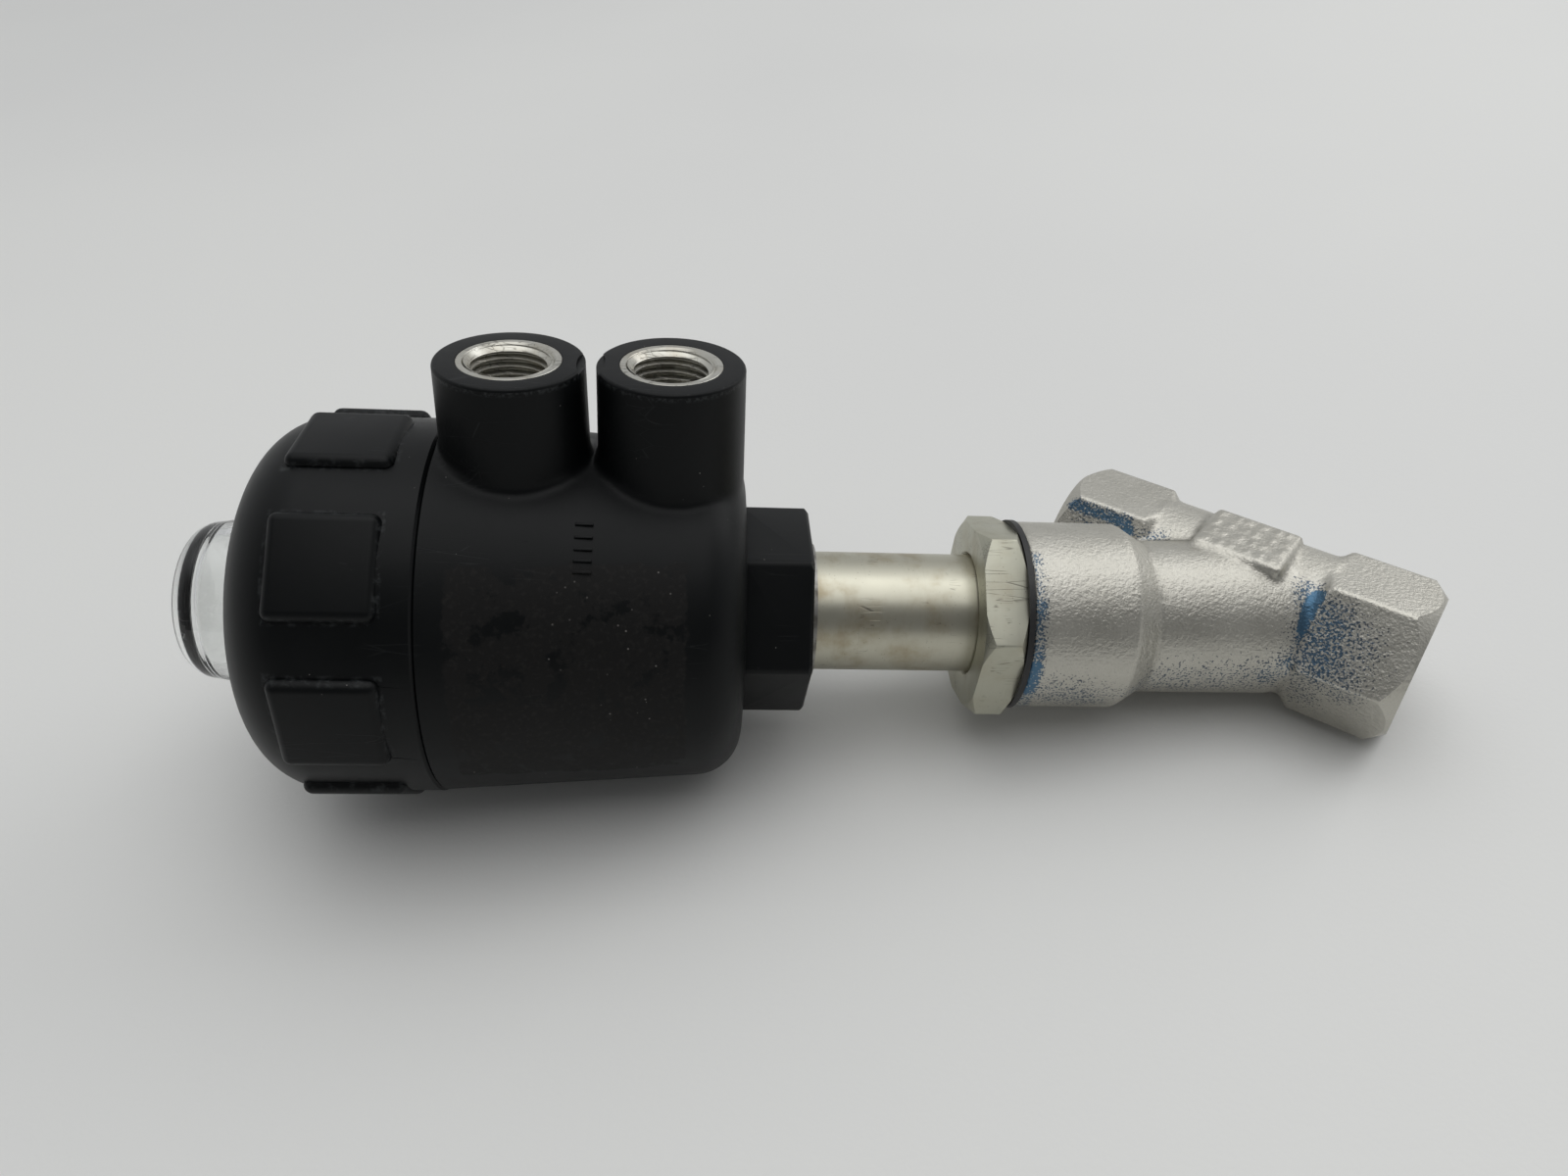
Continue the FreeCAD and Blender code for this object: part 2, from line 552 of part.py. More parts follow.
# ---------------------------------------------------------------- actuator housing
def insert_blank(x):
    """The outside of a moulded-in threaded insert, with its retaining groove."""
    blank = post(x, INSERT_FOOT_Z, BOSS_TOP_Z, INSERT_R)
    low, high = INSERT_FOOT_Z + INSERT_GROOVE[0], INSERT_FOOT_Z + INSERT_GROOVE[1]
    groove = post(x, low, high, INSERT_R + PAST)
    groove = groove.cut(post(x, low - PAST, high + PAST, INSERT_R - INSERT_GROOVE_DEPTH))
    return blank.cut(groove)


def port_insert(x):
    thread = post(x, BOSS_TOP_Z - PILOT_THREAD_LENGTH, BOSS_TOP_Z + PAST, PILOT_MINOR_R)
    hole = post(x, INSERT_FOOT_Z - PAST, BOSS_TOP_Z, AIR_HOLE_R)
    return insert_blank(x).cut([thread, hole])


def housing_shell():
    """The tapered barrel with its rounded foot and the spigot that the cover is screwed on."""
    round_x = HOUSING_END_X - HOUSING_ROUND
    round_r = HOUSING_FOOT_R - HOUSING_ROUND
    side = HOUSING_ROUND * math.sqrt(0.5)
    return turned(
        (HOUSING_JOINT_X - SPIGOT_LENGTH, 0),
        (HOUSING_JOINT_X - SPIGOT_LENGTH, SPIGOT_R),
        (HOUSING_JOINT_X, SPIGOT_R),
        (HOUSING_JOINT_X, HOUSING_R),
        (round_x, HOUSING_FOOT_R),
        ((round_x + side, round_r + side), (HOUSING_END_X, round_r)),
        (HOUSING_END_X, 0),
    )


def housing_hollow():
    """Piston bore, collar pocket and the sleeve round the tube, with the two seal grooves."""
    bore = rod(HOUSING_JOINT_X - SPIGOT_LENGTH - PAST, FLOOR_X, PISTON_BORE_R)
    pocket = rod(FLOOR_X - PAST, COLLAR_UNDER_X, POCKET_R)
    sleeve = rod(COLLAR_UNDER_X - PAST, HEX_END_X + PAST, SLEEVE_R)
    depth = 2 * O_RING_R
    half = O_RING_GROOVE / 2
    tube_groove = rod(HOUSING_SEAL_X - half, HOUSING_SEAL_X + half, SLEEVE_R + depth)
    cover_groove = ring(COVER_SEAL_X - half, COVER_SEAL_X + half, SPIGOT_R + PAST, SPIGOT_R - depth)
    return [bore, pocket, sleeve, tube_groove, cover_groove]


def actuator_housing():
    start = HOUSING_END_X - PAST
    hexagon_end = chamfered_hexagon(start, HEX_END_X, HEX_FLATS, 0, (0.1, 0.1), HEX_END_CHAMFER)
    shell = housing_shell().fuse(hexagon_end)
    for x in PORT_X:
        shell = shell.fuse(post(x, 0.5 * HOUSING_R, BOSS_TOP_Z, BOSS_FOOT_R, BOSS_TOP_R))
    tools = housing_hollow()
    for x in PORT_X:
        tools.append(insert_blank(x))
        tools.append(post(x, PISTON_BORE_R - AIR_HOLE_R, INSERT_FOOT_Z + PAST, AIR_HOLE_R))
    return shell.cut(tools)


# ---------------------------------------------------------------- cover, dome and indicator
def cover_pad(angle):
    """One of the flat grip pads round the cover, with rounded edges."""
    low = SPIGOT_R + 0.5
    start = V(COVER_PAD_START_X - COVER_PAD_LENGTH, -COVER_PAD_WIDTH / 2, low)
    pad = Part.makeBox(COVER_PAD_LENGTH, COVER_PAD_WIDTH, COVER_PAD_TOP - low, start)
    upright = [e for e in pad.Edges if abs(e.tangentAt(e.FirstParameter).z) > 0.9]
    pad = pad.makeFillet(COVER_PAD_CORNER, upright)
    top = [e for e in pad.Edges if e.BoundBox.ZMin > COVER_PAD_TOP - 1e-3]
    pad = pad.makeFillet(COVER_PAD_EDGE, top)
    pad.rotate(ORIGIN, X_AXIS, angle)
    return pad


def actuator_cover():
    side = COVER_ROUND * math.sqrt(0.5)
    round_x = COVER_END_X + COVER_ROUND
    round_r = COVER_R - COVER_ROUND
    spigot_end = HOUSING_JOINT_X - SPIGOT_LENGTH
    cover = turned(
        (HOUSING_JOINT_X, SPIGOT_R),
        (HOUSING_JOINT_X, COVER_R),
        (round_x, COVER_R),
        ((round_x - side, round_r + side), (COVER_END_X, round_r)),
        (COVER_END_X, DOME_R),
        (DOME_SEAT_X, DOME_R),
        (DOME_SEAT_X, INDICATOR_R + LOOSE),
        (COVER_SEAT_X, INDICATOR_R + LOOSE),
        (COVER_SEAT_X, COVER_CAVITY_R - COVER_CAVITY_CORNER),
        (COVER_SEAT_X + COVER_CAVITY_CORNER, COVER_CAVITY_R),
        (spigot_end, COVER_CAVITY_R),
        (spigot_end, SPIGOT_R),
    )
    for k in range(COVER_PADS):
        cover = cover.fuse(cover_pad(COVER_TURN + 360.0 * k / COVER_PADS))
    return cover


def indicator_dome():
    """The clear cap: a skirt in the cover's pocket and a rounded front."""
    outer = DOME_R - RUNNING
    foot = DOME_SEAT_X - 2 * O_RING_R
    cut = DOME_ROUND * (1 - math.sqrt(0.5))
    inner_round = DOME_ROUND - DOME_WALL
    inner_cut = inner_round * (1 - math.sqrt(0.5))
    front = DOME_END_X + DOME_FRONT_WALL
    inner_front = DOME_FRONT_R - DOME_WALL
    return turned(
        (foot, outer - DOME_WALL),
        (foot, outer),
        (COVER_END_X, outer),
        (DOME_END_X + DOME_ROUND, DOME_FRONT_R),
        ((DOME_END_X + cut, DOME_FRONT_R - cut), (DOME_END_X, DOME_FRONT_R - DOME_ROUND)),
        (DOME_END_X, 0),
        (front, 0),
        (front, inner_front - inner_round),
        ((front + inner_cut, inner_front - inner_cut), (front + inner_round, inner_front)),
        (COVER_END_X, outer - DOME_WALL),
    )


def indicator_pin():
    """The position indicator, screwed on the spindle's end; it rises into the dome as the valve opens."""
    pin = rod(INDICATOR_TOP_X, INDICATOR_FOOT_X, INDICATOR_R)
    tip = [e for e in pin.Edges if abs(e.BoundBox.XMax - INDICATOR_TOP_X) < 1e-3]
    pin = pin.makeFillet(2 * SMALL_CHAMFER, tip)
    return pin.cut(rod(SPINDLE_TOP_X, INDICATOR_FOOT_X + PAST, SPINDLE_NECK_R))


# ---------------------------------------------------------------- moving group
def spindle():
    """Guide rod with its reduced end for the piston, and a cross hole for the plug's pin."""
    shaft = turned(
        (SPINDLE_TOP_X, 0),
        (SPINDLE_TOP_X, SPINDLE_NECK_R - SMALL_CHAMFER),
        (SPINDLE_TOP_X + SMALL_CHAMFER, SPINDLE_NECK_R),
        (PISTON_HUB_X, SPINDLE_NECK_R),
        (PISTON_HUB_X, SPINDLE_R),
        (SPINDLE_FOOT_X - SMALL_CHAMFER, SPINDLE_R),
        (SPINDLE_FOOT_X, SPINDLE_R - SMALL_CHAMFER),
        (SPINDLE_FOOT_X, 0),
    )
    return shaft.cut(post(PLUG_PIN_X, -PLUG_BOSS_R, PLUG_BOSS_R, PLUG_PIN_R))


def piston():
    rim = PISTON_BORE_R - LOOSE
    bore = SPINDLE_NECK_R
    seal_x = 0.5 * (PISTON_BOTTOM_X + PISTON_TOP_X)
    blank = turned(
        (PISTON_TOP_X, bore),
        (PISTON_TOP_X, rim),
        (SEAL_GROOVE[0], rim),
        (SEAL_GROOVE[0], SEAL_GROOVE_R),
        (SEAL_GROOVE[1], SEAL_GROOVE_R),
        (SEAL_GROOVE[1], rim),
        (GUIDE_GROOVE[0], rim),
        (GUIDE_GROOVE[0], GUIDE_GROOVE_R),
        (GUIDE_GROOVE[1], GUIDE_GROOVE_R),
        (GUIDE_GROOVE[1], rim),
        (PISTON_BOTTOM_X, rim),
        (PISTON_BOTTOM_X, PISTON_HUB_R),
        (PISTON_HUB_X, PISTON_HUB_R),
        (PISTON_HUB_X, bore),
    )
    return blank.cut(rod(seal_x - O_RING_GROOVE / 2, seal_x + O_RING_GROOVE / 2, bore + 2 * O_RING_R))


def piston_lip_seal():
    """U-shaped seal, open towards the air side."""
    rim = PISTON_BORE_R - RUNNING
    start, end = SEAL_GROOVE
    return turned(
        (start + 0.1, SEAL_GROOVE_R),
        (start + 0.1, rim - 0.5),
        (end - 0.8, rim),
        (end - 0.1, rim - 0.1),
        (end - 0.1, rim - 0.9),
        (end - 1.8, 0.5 * (rim + SEAL_GROOVE_R)),
        (end - 0.1, SEAL_GROOVE_R + 0.9),
        (end - 0.1, SEAL_GROOVE_R),
    )


def piston_guide_ring():
    return ring(GUIDE_GROOVE[0] + 0.1, GUIDE_GROOVE[1] - 0.1, PISTON_BORE_R - RUNNING, GUIDE_GROOVE_R)


def piston_o_ring():
    seal_x = 0.5 * (PISTON_BOTTOM_X + PISTON_TOP_X)
    return torus(seal_x, SPINDLE_NECK_R + O_RING_R, O_RING_R - O_RING_SQUEEZE)


def piston_nut():
    top = PISTON_NUT_X - PISTON_NUT_HEIGHT
    chamfer = PISTON_NUT_CHAMFER
    blank = chamfered_hexagon(top, PISTON_NUT_X, PISTON_NUT_FLATS, 0, chamfer, chamfer)
    return blank.cut(rod(top - PAST, PISTON_NUT_X + PAST, SPINDLE_NECK_R))


def plug():
    """The plug's carrier: a disc behind the soft seal and a boss that is pinned to the spindle."""
    blank = turned(
        (PLUG_TOP_X, 0),
        (PLUG_TOP_X, PLUG_BOSS_R - 1.0),
        (PLUG_TOP_X + 1.0, PLUG_BOSS_R),
        (PLUG_BOSS_X, PLUG_BOSS_R),
        (PLUG_BOSS_X, PLUG_R),
        (PLUG_FACE_X, PLUG_R),
        (PLUG_FACE_X, 0),
    )
    socket = rod(PLUG_TOP_X - PAST, SPINDLE_FOOT_X, SPINDLE_R)
    stud_hole = rod(SPINDLE_FOOT_X - PAST, PLUG_FACE_X + PAST, RETAINER_STUD_R)
    pin_hole = post(PLUG_PIN_X, -PLUG_BOSS_R - PAST, PLUG_BOSS_R + PAST, PLUG_PIN_R)
    return blank.cut([socket, stud_hole, pin_hole])


def plug_seal():
    return ring(PLUG_FACE_X, SEAT_X, PLUG_R - 2 * RUNNING, ORIFICE_R - RETAINER_STEP)


def seal_retainer():
    """The screwed retainer that clamps the soft seal and enters the orifice."""
    entry_r = ORIFICE_R - SMALL_CHAMFER
    hub_r = ORIFICE_R - RETAINER_STEP
    head = turned(
        (SEAT_X, 0),
        (SEAT_X, entry_r),
        (SEAT_X + RETAINER_HEAD / 2, entry_r),
        (SEAT_X + RETAINER_HEAD, RETAINER_TIP_R),
        (SEAT_X + RETAINER_HEAD, 0),
    )
    hub = rod(PLUG_FACE_X, SEAT_X, hub_r)
    stud = rod(SPINDLE_FOOT_X, PLUG_FACE_X, RETAINER_STUD_R)
    slot_start = V(SEAT_X + RETAINER_HEAD / 2, -ORIFICE_R, -RETAINER_SLOT / 2)
    slot = Part.makeBox(RETAINER_HEAD, 2 * ORIFICE_R, RETAINER_SLOT, slot_start)
    return head.fuse([hub, stud]).cut(slot)


def main():
    os.makedirs("parts", exist_ok=True)
    save("valve_body", valve_body())
    save("body_gasket", body_gasket())
    save("bonnet_nipple", bonnet_nipple())
    save("spacer_tube", spacer_tube())
    save("snap_ring", snap_ring())
    save("tube_collar", tube_collar())
    save("spindle_air_seal", spindle_air_seal())
    for name, shape in packing().items():
        save(name, shape)

    save("actuator_housing", actuator_housing())
    save("housing_o_ring", torus(HOUSING_SEAL_X, SLEEVE_R + O_RING_R, O_RING_R - O_RING_SQUEEZE))
    save("spring_side_port_insert", port_insert(PORT_X[0]))
    save("air_side_port_insert", port_insert(PORT_X[1]))
    save("actuator_cover", actuator_cover())
    save("cover_o_ring", torus(COVER_SEAL_X, SPIGOT_R - O_RING_R, O_RING_R - O_RING_SQUEEZE))
    save("indicator_dome", indicator_dome())
    dome_ring_r = DOME_R - O_RING_R - RUNNING
    save("dome_o_ring", torus(DOME_SEAT_X - O_RING_R, dome_ring_r, O_RING_R - O_RING_SQUEEZE))
    save("outer_spring", coil(PISTON_TOP_X, COVER_SEAT_X, OUTER_SPRING_R, OUTER_WIRE_R, OUTER_SPRING_TURNS))
    save("inner_spring", coil(PISTON_TOP_X, COVER_SEAT_X, INNER_SPRING_R, INNER_WIRE_R, INNER_SPRING_TURNS))

    save("spindle", spindle())
    save("piston", piston())
    save("piston_lip_seal", piston_lip_seal())
    save("piston_guide_ring", piston_guide_ring())
    save("piston_o_ring", piston_o_ring())
    save("piston_washer", ring(PISTON_NUT_X, PISTON_TOP_X, PISTON_WASHER_R, SPINDLE_NECK_R))
    save("piston_nut", piston_nut())
    save("indicator_pin", indicator_pin())
    save("plug", plug())
    save("plug_seal", plug_seal())
    save("seal_retainer", seal_retainer())
    save("plug_pin", post(PLUG_PIN_X, -PLUG_BOSS_R, PLUG_BOSS_R, PLUG_PIN_R))


main()
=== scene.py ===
"""The looks of an air-operated angle seat valve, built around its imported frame.

Lengths are metres in the row frame: the origin is the middle of the outlet face, +X runs along the stem from
the actuator to the body, and +Z points out of the two pilot ports. Places along the stem are measured from the
point where the stem axis crosses the flow axis, as a maker's drawing gives them.
"""

import json
import logging
import math
from collections.abc import Callable
from dataclasses import dataclass, field
from enum import Enum

import bpy
import numpy as np
from mathutils import Matrix, Vector


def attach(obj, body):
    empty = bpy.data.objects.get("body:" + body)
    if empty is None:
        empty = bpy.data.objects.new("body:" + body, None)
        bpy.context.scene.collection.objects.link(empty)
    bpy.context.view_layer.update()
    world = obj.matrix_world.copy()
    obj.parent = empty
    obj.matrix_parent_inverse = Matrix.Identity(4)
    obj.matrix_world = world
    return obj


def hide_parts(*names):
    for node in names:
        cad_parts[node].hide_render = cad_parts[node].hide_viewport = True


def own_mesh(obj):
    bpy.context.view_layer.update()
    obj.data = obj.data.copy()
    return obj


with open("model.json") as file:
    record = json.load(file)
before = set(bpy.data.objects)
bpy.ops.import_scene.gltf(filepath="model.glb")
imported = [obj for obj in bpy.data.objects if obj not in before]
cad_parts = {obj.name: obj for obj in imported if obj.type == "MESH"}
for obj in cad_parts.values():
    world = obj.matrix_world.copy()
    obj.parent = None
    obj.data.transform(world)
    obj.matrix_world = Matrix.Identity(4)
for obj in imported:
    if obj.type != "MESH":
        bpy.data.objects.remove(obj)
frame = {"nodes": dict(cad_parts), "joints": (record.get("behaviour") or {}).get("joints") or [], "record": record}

MM = 0.001
LOG = logging.getLogger("valve")


class Group(Enum):
    """The bodies of the frame that a piece can ride on."""

    BODY = "body"
    ACTUATOR = "actuator"
    STEM = "stem"


class Slot(Enum):
    """The material slots of the record."""

    CAST = "cast_stainless"
    TURNED = "turned_stainless"
    BRASS = "nickel_plated_brass"
    SPRING = "spring_steel"
    ZINC = "zinc_plated_steel"
    NYLON = "black_nylon"
    FLUOR = "fluoropolymer"
    RUBBER = "black_rubber"
    CLEAR = "clear_polycarbonate"
    WHITE = "white_plastic"


class Work(Enum):
    """What a tool does to the piece that it meets."""

    JOIN = "UNION"
    CUT = "DIFFERENCE"
    KEEP = "INTERSECT"


# ---------------------------------------------------------------- the frame's own places
def mount(name: str) -> dict:
    """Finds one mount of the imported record.

    Args:
        name: the mount's name.

    Returns:
        The mount's entry.
    """
    return next(m for m in frame["record"]["mounts"] if m["name"] == name)


def joint(name: str) -> dict:
    """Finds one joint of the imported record.

    Args:
        name: the joint's name.

    Returns:
        The joint's entry.
    """
    return next(j for j in frame["joints"] if j["name"] == name)


CROSSING = Vector(joint("actuator_turn")["pos_m"])
FLOW = Vector(mount("outlet_port")["axis"])
FLOW_ANGLE = math.atan2(FLOW.y, FLOW.x)
OUTLET_LENGTH = CROSSING.length
INLET_LENGTH = Vector(mount("inlet_port")["pos_m"]).length - OUTLET_LENGTH


# ---------------------------------------------------------------- bench: how a piece is shaped
def clear_selection() -> None:
    """Leaves edit mode and selects nothing."""
    if bpy.context.mode != "OBJECT":
        bpy.ops.object.mode_set(mode="OBJECT")
    bpy.ops.object.select_all(action="DESELECT")


def pick(piece: bpy.types.Object) -> bpy.types.Object:
    """Makes one piece the only selected and the active one.

    Args:
        piece: the piece to work on.

    Returns:
        The same piece.
    """
    clear_selection()
    piece.select_set(True)
    bpy.context.view_layer.objects.active = piece
    return piece


def named(name: str) -> bpy.types.Object:
    """Names the primitive that was just added, with its place in its mesh.

    Args:
        name: the piece's name.

    Returns:
        The piece.
    """
    piece = bpy.context.object
    bpy.ops.object.transform_apply(location=True, rotation=True, scale=True)
    piece.name = name
    piece.data.name = name
    return piece


def bar(name: str, x0: float, x1: float, radius: float, end_radius: float = 0.0, sides: int = 128) -> bpy.types.Object:
    """A round or six-sided bar along X; with six sides, two flats face up and down.

    Args:
        name: the piece's name.
        x0: where it starts.
        x1: where it ends.
        radius: its radius at the start, to the corners.
        end_radius: its radius at the end, or 0 for a straight bar.
        sides: how many sides it has.

    Returns:
        The bar.
    """
    clear_selection()
    bpy.ops.mesh.primitive_cone_add(
        vertices=sides,
        radius1=radius,
        radius2=end_radius or radius,
        depth=x1 - x0,
        location=((x0 + x1) / 2, 0, 0),
        rotation=(0, math.pi / 2, 0),
    )
    return named(name)


def post(name: str, x: float, z0: float, z1: float, radius: float, top_radius: float = 0.0, sides: int = 96) -> bpy.types.Object:
    """A round post along Z.

    Args:
        name: the piece's name.
        x: its place along X.
        z0: its foot.
        z1: its top.
        radius: its radius at the foot.
        top_radius: its radius at the top, or 0 for a straight post.
        sides: how many sides it has.

    Returns:
        The post.
    """
    clear_selection()
    bpy.ops.mesh.primitive_cone_add(
        vertices=sides,
        radius1=radius,
        radius2=top_radius or radius,
        depth=z1 - z0,
        location=(x, 0, (z0 + z1) / 2),
    )
    return named(name)


def block(name: str, low: tuple, high: tuple) -> bpy.types.Object:
    """A block between two corners.

    Args:
        name: the piece's name.
        low: its lowest corner.
        high: its highest corner.

    Returns:
        The block.
    """
    clear_selection()
    bpy.ops.mesh.primitive_cube_add(size=1, location=[(a + b) / 2 for a, b in zip(low, high)])
    bpy.context.object.scale = [b - a for a, b in zip(low, high)]
    return named(name)


def arc(x: float, r: float, radius: float, start: float, end: float, steps: int = 8) -> list:
    """Points on an arc of an outline.

    Args:
        x: the centre's place along the axis.
        r: the centre's distance from the axis.
        radius: the arc's radius.
        start: the first angle in degrees, from the axis direction towards larger radii.
        end: the last angle.
        steps: how many chords it is divided into.

    Returns:
        The points as (x, r).
    """
    angles = [math.radians(start + (end - start) * k / steps) for k in range(steps + 1)]
    return [(x + radius * math.cos(a), r + radius * math.sin(a)) for a in angles]


def drawn(name: str, points: list, closed: bool) -> bpy.types.Object:
    """Draws an outline of edges in the XY plane, point after point.

    Args:
        name: the piece's name.
        points: its points as (x, y).
        closed: whether it returns to its first point.

    Returns:
        The outline as an object left in edit mode, all selected.
    """
    clear_selection()
    bpy.ops.mesh.primitive_plane_add(size=MM)
    piece = named(name)
    bpy.ops.object.mode_set(mode="EDIT")
    bpy.ops.mesh.select_all(action="SELECT")
    bpy.ops.mesh.merge(type="CENTER")
    here = Vector((0, 0, 0))
    route = list(points) + ([points[0]] if closed else [])
    for k, point in enumerate(route):
        step = Vector((point[0], point[1], 0)) - here
        if k == 0:
            bpy.ops.transform.translate(value=step)
        else:
            bpy.ops.mesh.extrude_region_move(TRANSFORM_OT_translate={"value": step})
        here += step
    bpy.ops.mesh.select_all(action="SELECT")
    bpy.ops.mesh.remove_doubles(threshold=1e-7)
    bpy.ops.mesh.select_all(action="SELECT")
    return piece


def turned(name: str, outline: list, steps: int = 144, closed: bool = True) -> bpy.types.Object:
    """Turns an outline about the X axis, as on a lathe.

    Args:
        name: the piece's name.
        outline: its points as (x, r).
        steps: how many segments one turn has.
        closed: whether the outline is a closed one that stands off the axis.

    Returns:
        The turned piece.
    """
    piece = drawn(name, outline, closed)
    bpy.ops.mesh.spin(steps=steps, angle=2 * math.pi, center=(0, 0, 0), axis=(1, 0, 0))
    bpy.ops.mesh.select_all(action="SELECT")
    bpy.ops.mesh.remove_doubles(threshold=1e-7)
    bpy.ops.mesh.normals_make_consistent(inside=False)
    bpy.ops.object.mode_set(mode="OBJECT")
    return piece


def placed(piece: bpy.types.Object, turn: tuple = (0.0, 0.0, 0.0), shift: tuple = (0.0, 0.0, 0.0)) -> bpy.types.Object:
    """Turns and shifts a piece, and keeps the result in its mesh.

    Args:
        piece: the piece.
        turn: its turn about X, Y and Z in radians.
        shift: its shift.

    Returns:
        The same piece.
    """
    pick(piece)
    piece.rotation_euler = turn
    piece.location = shift
    bpy.ops.object.transform_apply(location=True, rotation=True, scale=True)
    return piece


def worked(piece: bpy.types.Object, tool: bpy.types.Object, work: Work) -> bpy.types.Object:
    """Joins, cuts or keeps with a tool, which is used up.

    Args:
        piece: the piece.
        tool: the tool that meets it.
        work: what the tool does.

    Returns:
        The piece.
    """
    pick(piece)
    step = piece.modifiers.new(work.name, "BOOLEAN")
    step.operation = work.value
    step.solver = "MANIFOLD"
    step.object = tool
    bpy.ops.object.modifier_apply(modifier=step.name)
    bpy.data.objects.remove(tool)
    return piece


def sliced(piece: bpy.types.Object, point: tuple, away: tuple) -> bpy.types.Object:
    """Cuts off all that lies beyond a plane and closes the cut.

    Args:
        piece: the piece.
        point: a point of the plane.
        away: the direction of what is cut off.

    Returns:
        The piece.
    """
    pick(piece)
    bpy.ops.object.mode_set(mode="EDIT")
    bpy.ops.mesh.select_all(action="SELECT")
    bpy.ops.mesh.bisect(plane_co=point, plane_no=away, clear_outer=True, use_fill=True)
    bpy.ops.object.mode_set(mode="OBJECT")
    return piece


def eased(piece: bpy.types.Object, width: float, segments: int = 3, angle: float = 30.0) -> bpy.types.Object:
    """Rounds every edge sharper than an angle.

    Args:
        piece: the piece.
        width: the rounding's width.
        segments: how many strips it has.
        angle: the least angle between two faces, in degrees.

    Returns:
        The piece.
    """
    pick(piece)
    step = piece.modifiers.new("eased", "BEVEL")
    step.width = width
    step.segments = segments
    step.limit_method = "ANGLE"
    step.angle_limit = math.radians(angle)
    bpy.ops.object.modifier_apply(modifier=step.name)
    return piece


def recast(piece: bpy.types.Object, grain: float) -> bpy.types.Object:
    """Rebuilds a piece as one even skin, as it comes out of a mould.

    Args:
        piece: the piece.
        grain: the size of the skin's facets.

    Returns:
        The piece.
    """
    pick(piece)
    step = piece.modifiers.new("recast", "REMESH")
    step.mode = "VOXEL"
    step.voxel_size = grain
    step.use_smooth_shade = True
    bpy.ops.object.modifier_apply(modifier=step.name)
    return piece


def skin(piece: bpy.types.Object) -> tuple:
    """Reads a mesh's points, normals and edges.

    Args:
        piece: the piece.

    Returns:
        Arrays of points, vertex normals and edges.
    """
    mesh = piece.data
    count = len(mesh.vertices)
    points = np.zeros(count * 3)
    normals = np.zeros(count * 3)
    edges = np.zeros(len(mesh.edges) * 2, dtype=np.int64)
    mesh.vertices.foreach_get("co", points)
    mesh.vertices.foreach_get("normal", normals)
    mesh.edges.foreach_get("vertices", edges)
    return points.reshape(-1, 3), normals.reshape(-1, 3), edges.reshape(-1, 2)


def spread(values: np.ndarray, edges: np.ndarray, times: int) -> np.ndarray:
    """Averages a value over each vertex's neighbours a few times.

    Args:
        values: one value for each vertex.
        edges: the mesh's edges.
        times: how many times.

    Returns:
        The averaged values.
    """
    degree = np.bincount(edges.ravel(), minlength=len(values)) + 1.0
    for _ in range(times):
        total = values.copy()
        total += np.bincount(edges[:, 0], weights=values[edges[:, 1]], minlength=len(values))
        total += np.bincount(edges[:, 1], weights=values[edges[:, 0]], minlength=len(values))
        values = total / degree
    return values


def hollowness(piece: bpy.types.Object, times: int) -> np.ndarray:
    """How hollow the surface is at each vertex: above 0 in a corner and below 0 on an edge, in 1/m.

    Args:
        piece: the piece.
        times: how far the measure is spread.

    Returns:
        One value for each vertex.
    """
    points, normals, edges = skin(piece)
    a, b = edges[:, 0], edges[:, 1]
    step = points[b] - points[a]
    length = np.maximum((step * step).sum(1), 1e-14)
    from_a = (step * normals[a]).sum(1) / length
    from_b = -(step * normals[b]).sum(1) / length
    count = len(points)
    total = np.bincount(a, weights=from_a, minlength=count) + np.bincount(b, weights=from_b, minlength=count)
    degree = np.maximum(np.bincount(edges.ravel(), minlength=count), 1)
    return spread(2 * total / degree, edges, times)


def mean_edge(piece: bpy.types.Object) -> np.ndarray:
    """The mean length of the edges that meet at each vertex.

    Args:
        piece: the piece.

    Returns:
        One length for each vertex.
    """
    points, _, edges = skin(piece)
    length = np.linalg.norm(points[edges[:, 1]] - points[edges[:, 0]], axis=1)
    total = np.bincount(edges.ravel(), weights=np.repeat(length, 2), minlength=len(points))
    return total / np.maximum(np.bincount(edges.ravel(), minlength=len(points)), 1)


def marked(piece: bpy.types.Object, name: str, values: np.ndarray) -> None:
    """Stores a value for each vertex, for a finish to read.

    Args:
        piece: the piece.
        name: the attribute's name.
        values: the values, kept between 0 and 1.
    """
    layer = piece.data.attributes.get(name) or piece.data.attributes.new(name, "FLOAT", "POINT")
    layer.data.foreach_set("value", np.clip(values, 0, 1).astype(np.float32))


def filleted(piece: bpy.types.Object, passes: int, least: float, spared: Callable | None = None) -> bpy.types.Object:
    """Smooths the hollow corners of an even skin into fillets and takes the steps off the rest.

    Args:
        piece: the piece.
        passes: how often the corners are smoothed, which sets the fillet's size.
        least: the hollowness from which a place counts as a corner, in 1/m.
        spared: tells from the points which of them keep their corners.

    Returns:
        The piece.
    """
    bent = hollowness(piece, 3)
    points, _, edges = skin(piece)
    weight = np.clip(spread((bent > least).astype(float), edges, 6) * 3, 0, 1)
    if spared is not None:
        weight[spared(points)] = 0
    group = piece.vertex_groups.new(name="corners")
    for level in range(1, 11):
        chosen = np.flatnonzero(np.round(weight * 10) == level)
        group.add(chosen.tolist(), level / 10, "REPLACE")
    pick(piece)
    for name, factor, repeats in (("corners", 0.5, passes), ("", 0.5, 3)):
        step = piece.modifiers.new("smooth", "SMOOTH")
        step.factor = factor
        step.iterations = repeats
        step.vertex_group = name
        bpy.ops.object.modifier_apply(modifier=step.name)
    piece.vertex_groups.clear()
    return piece


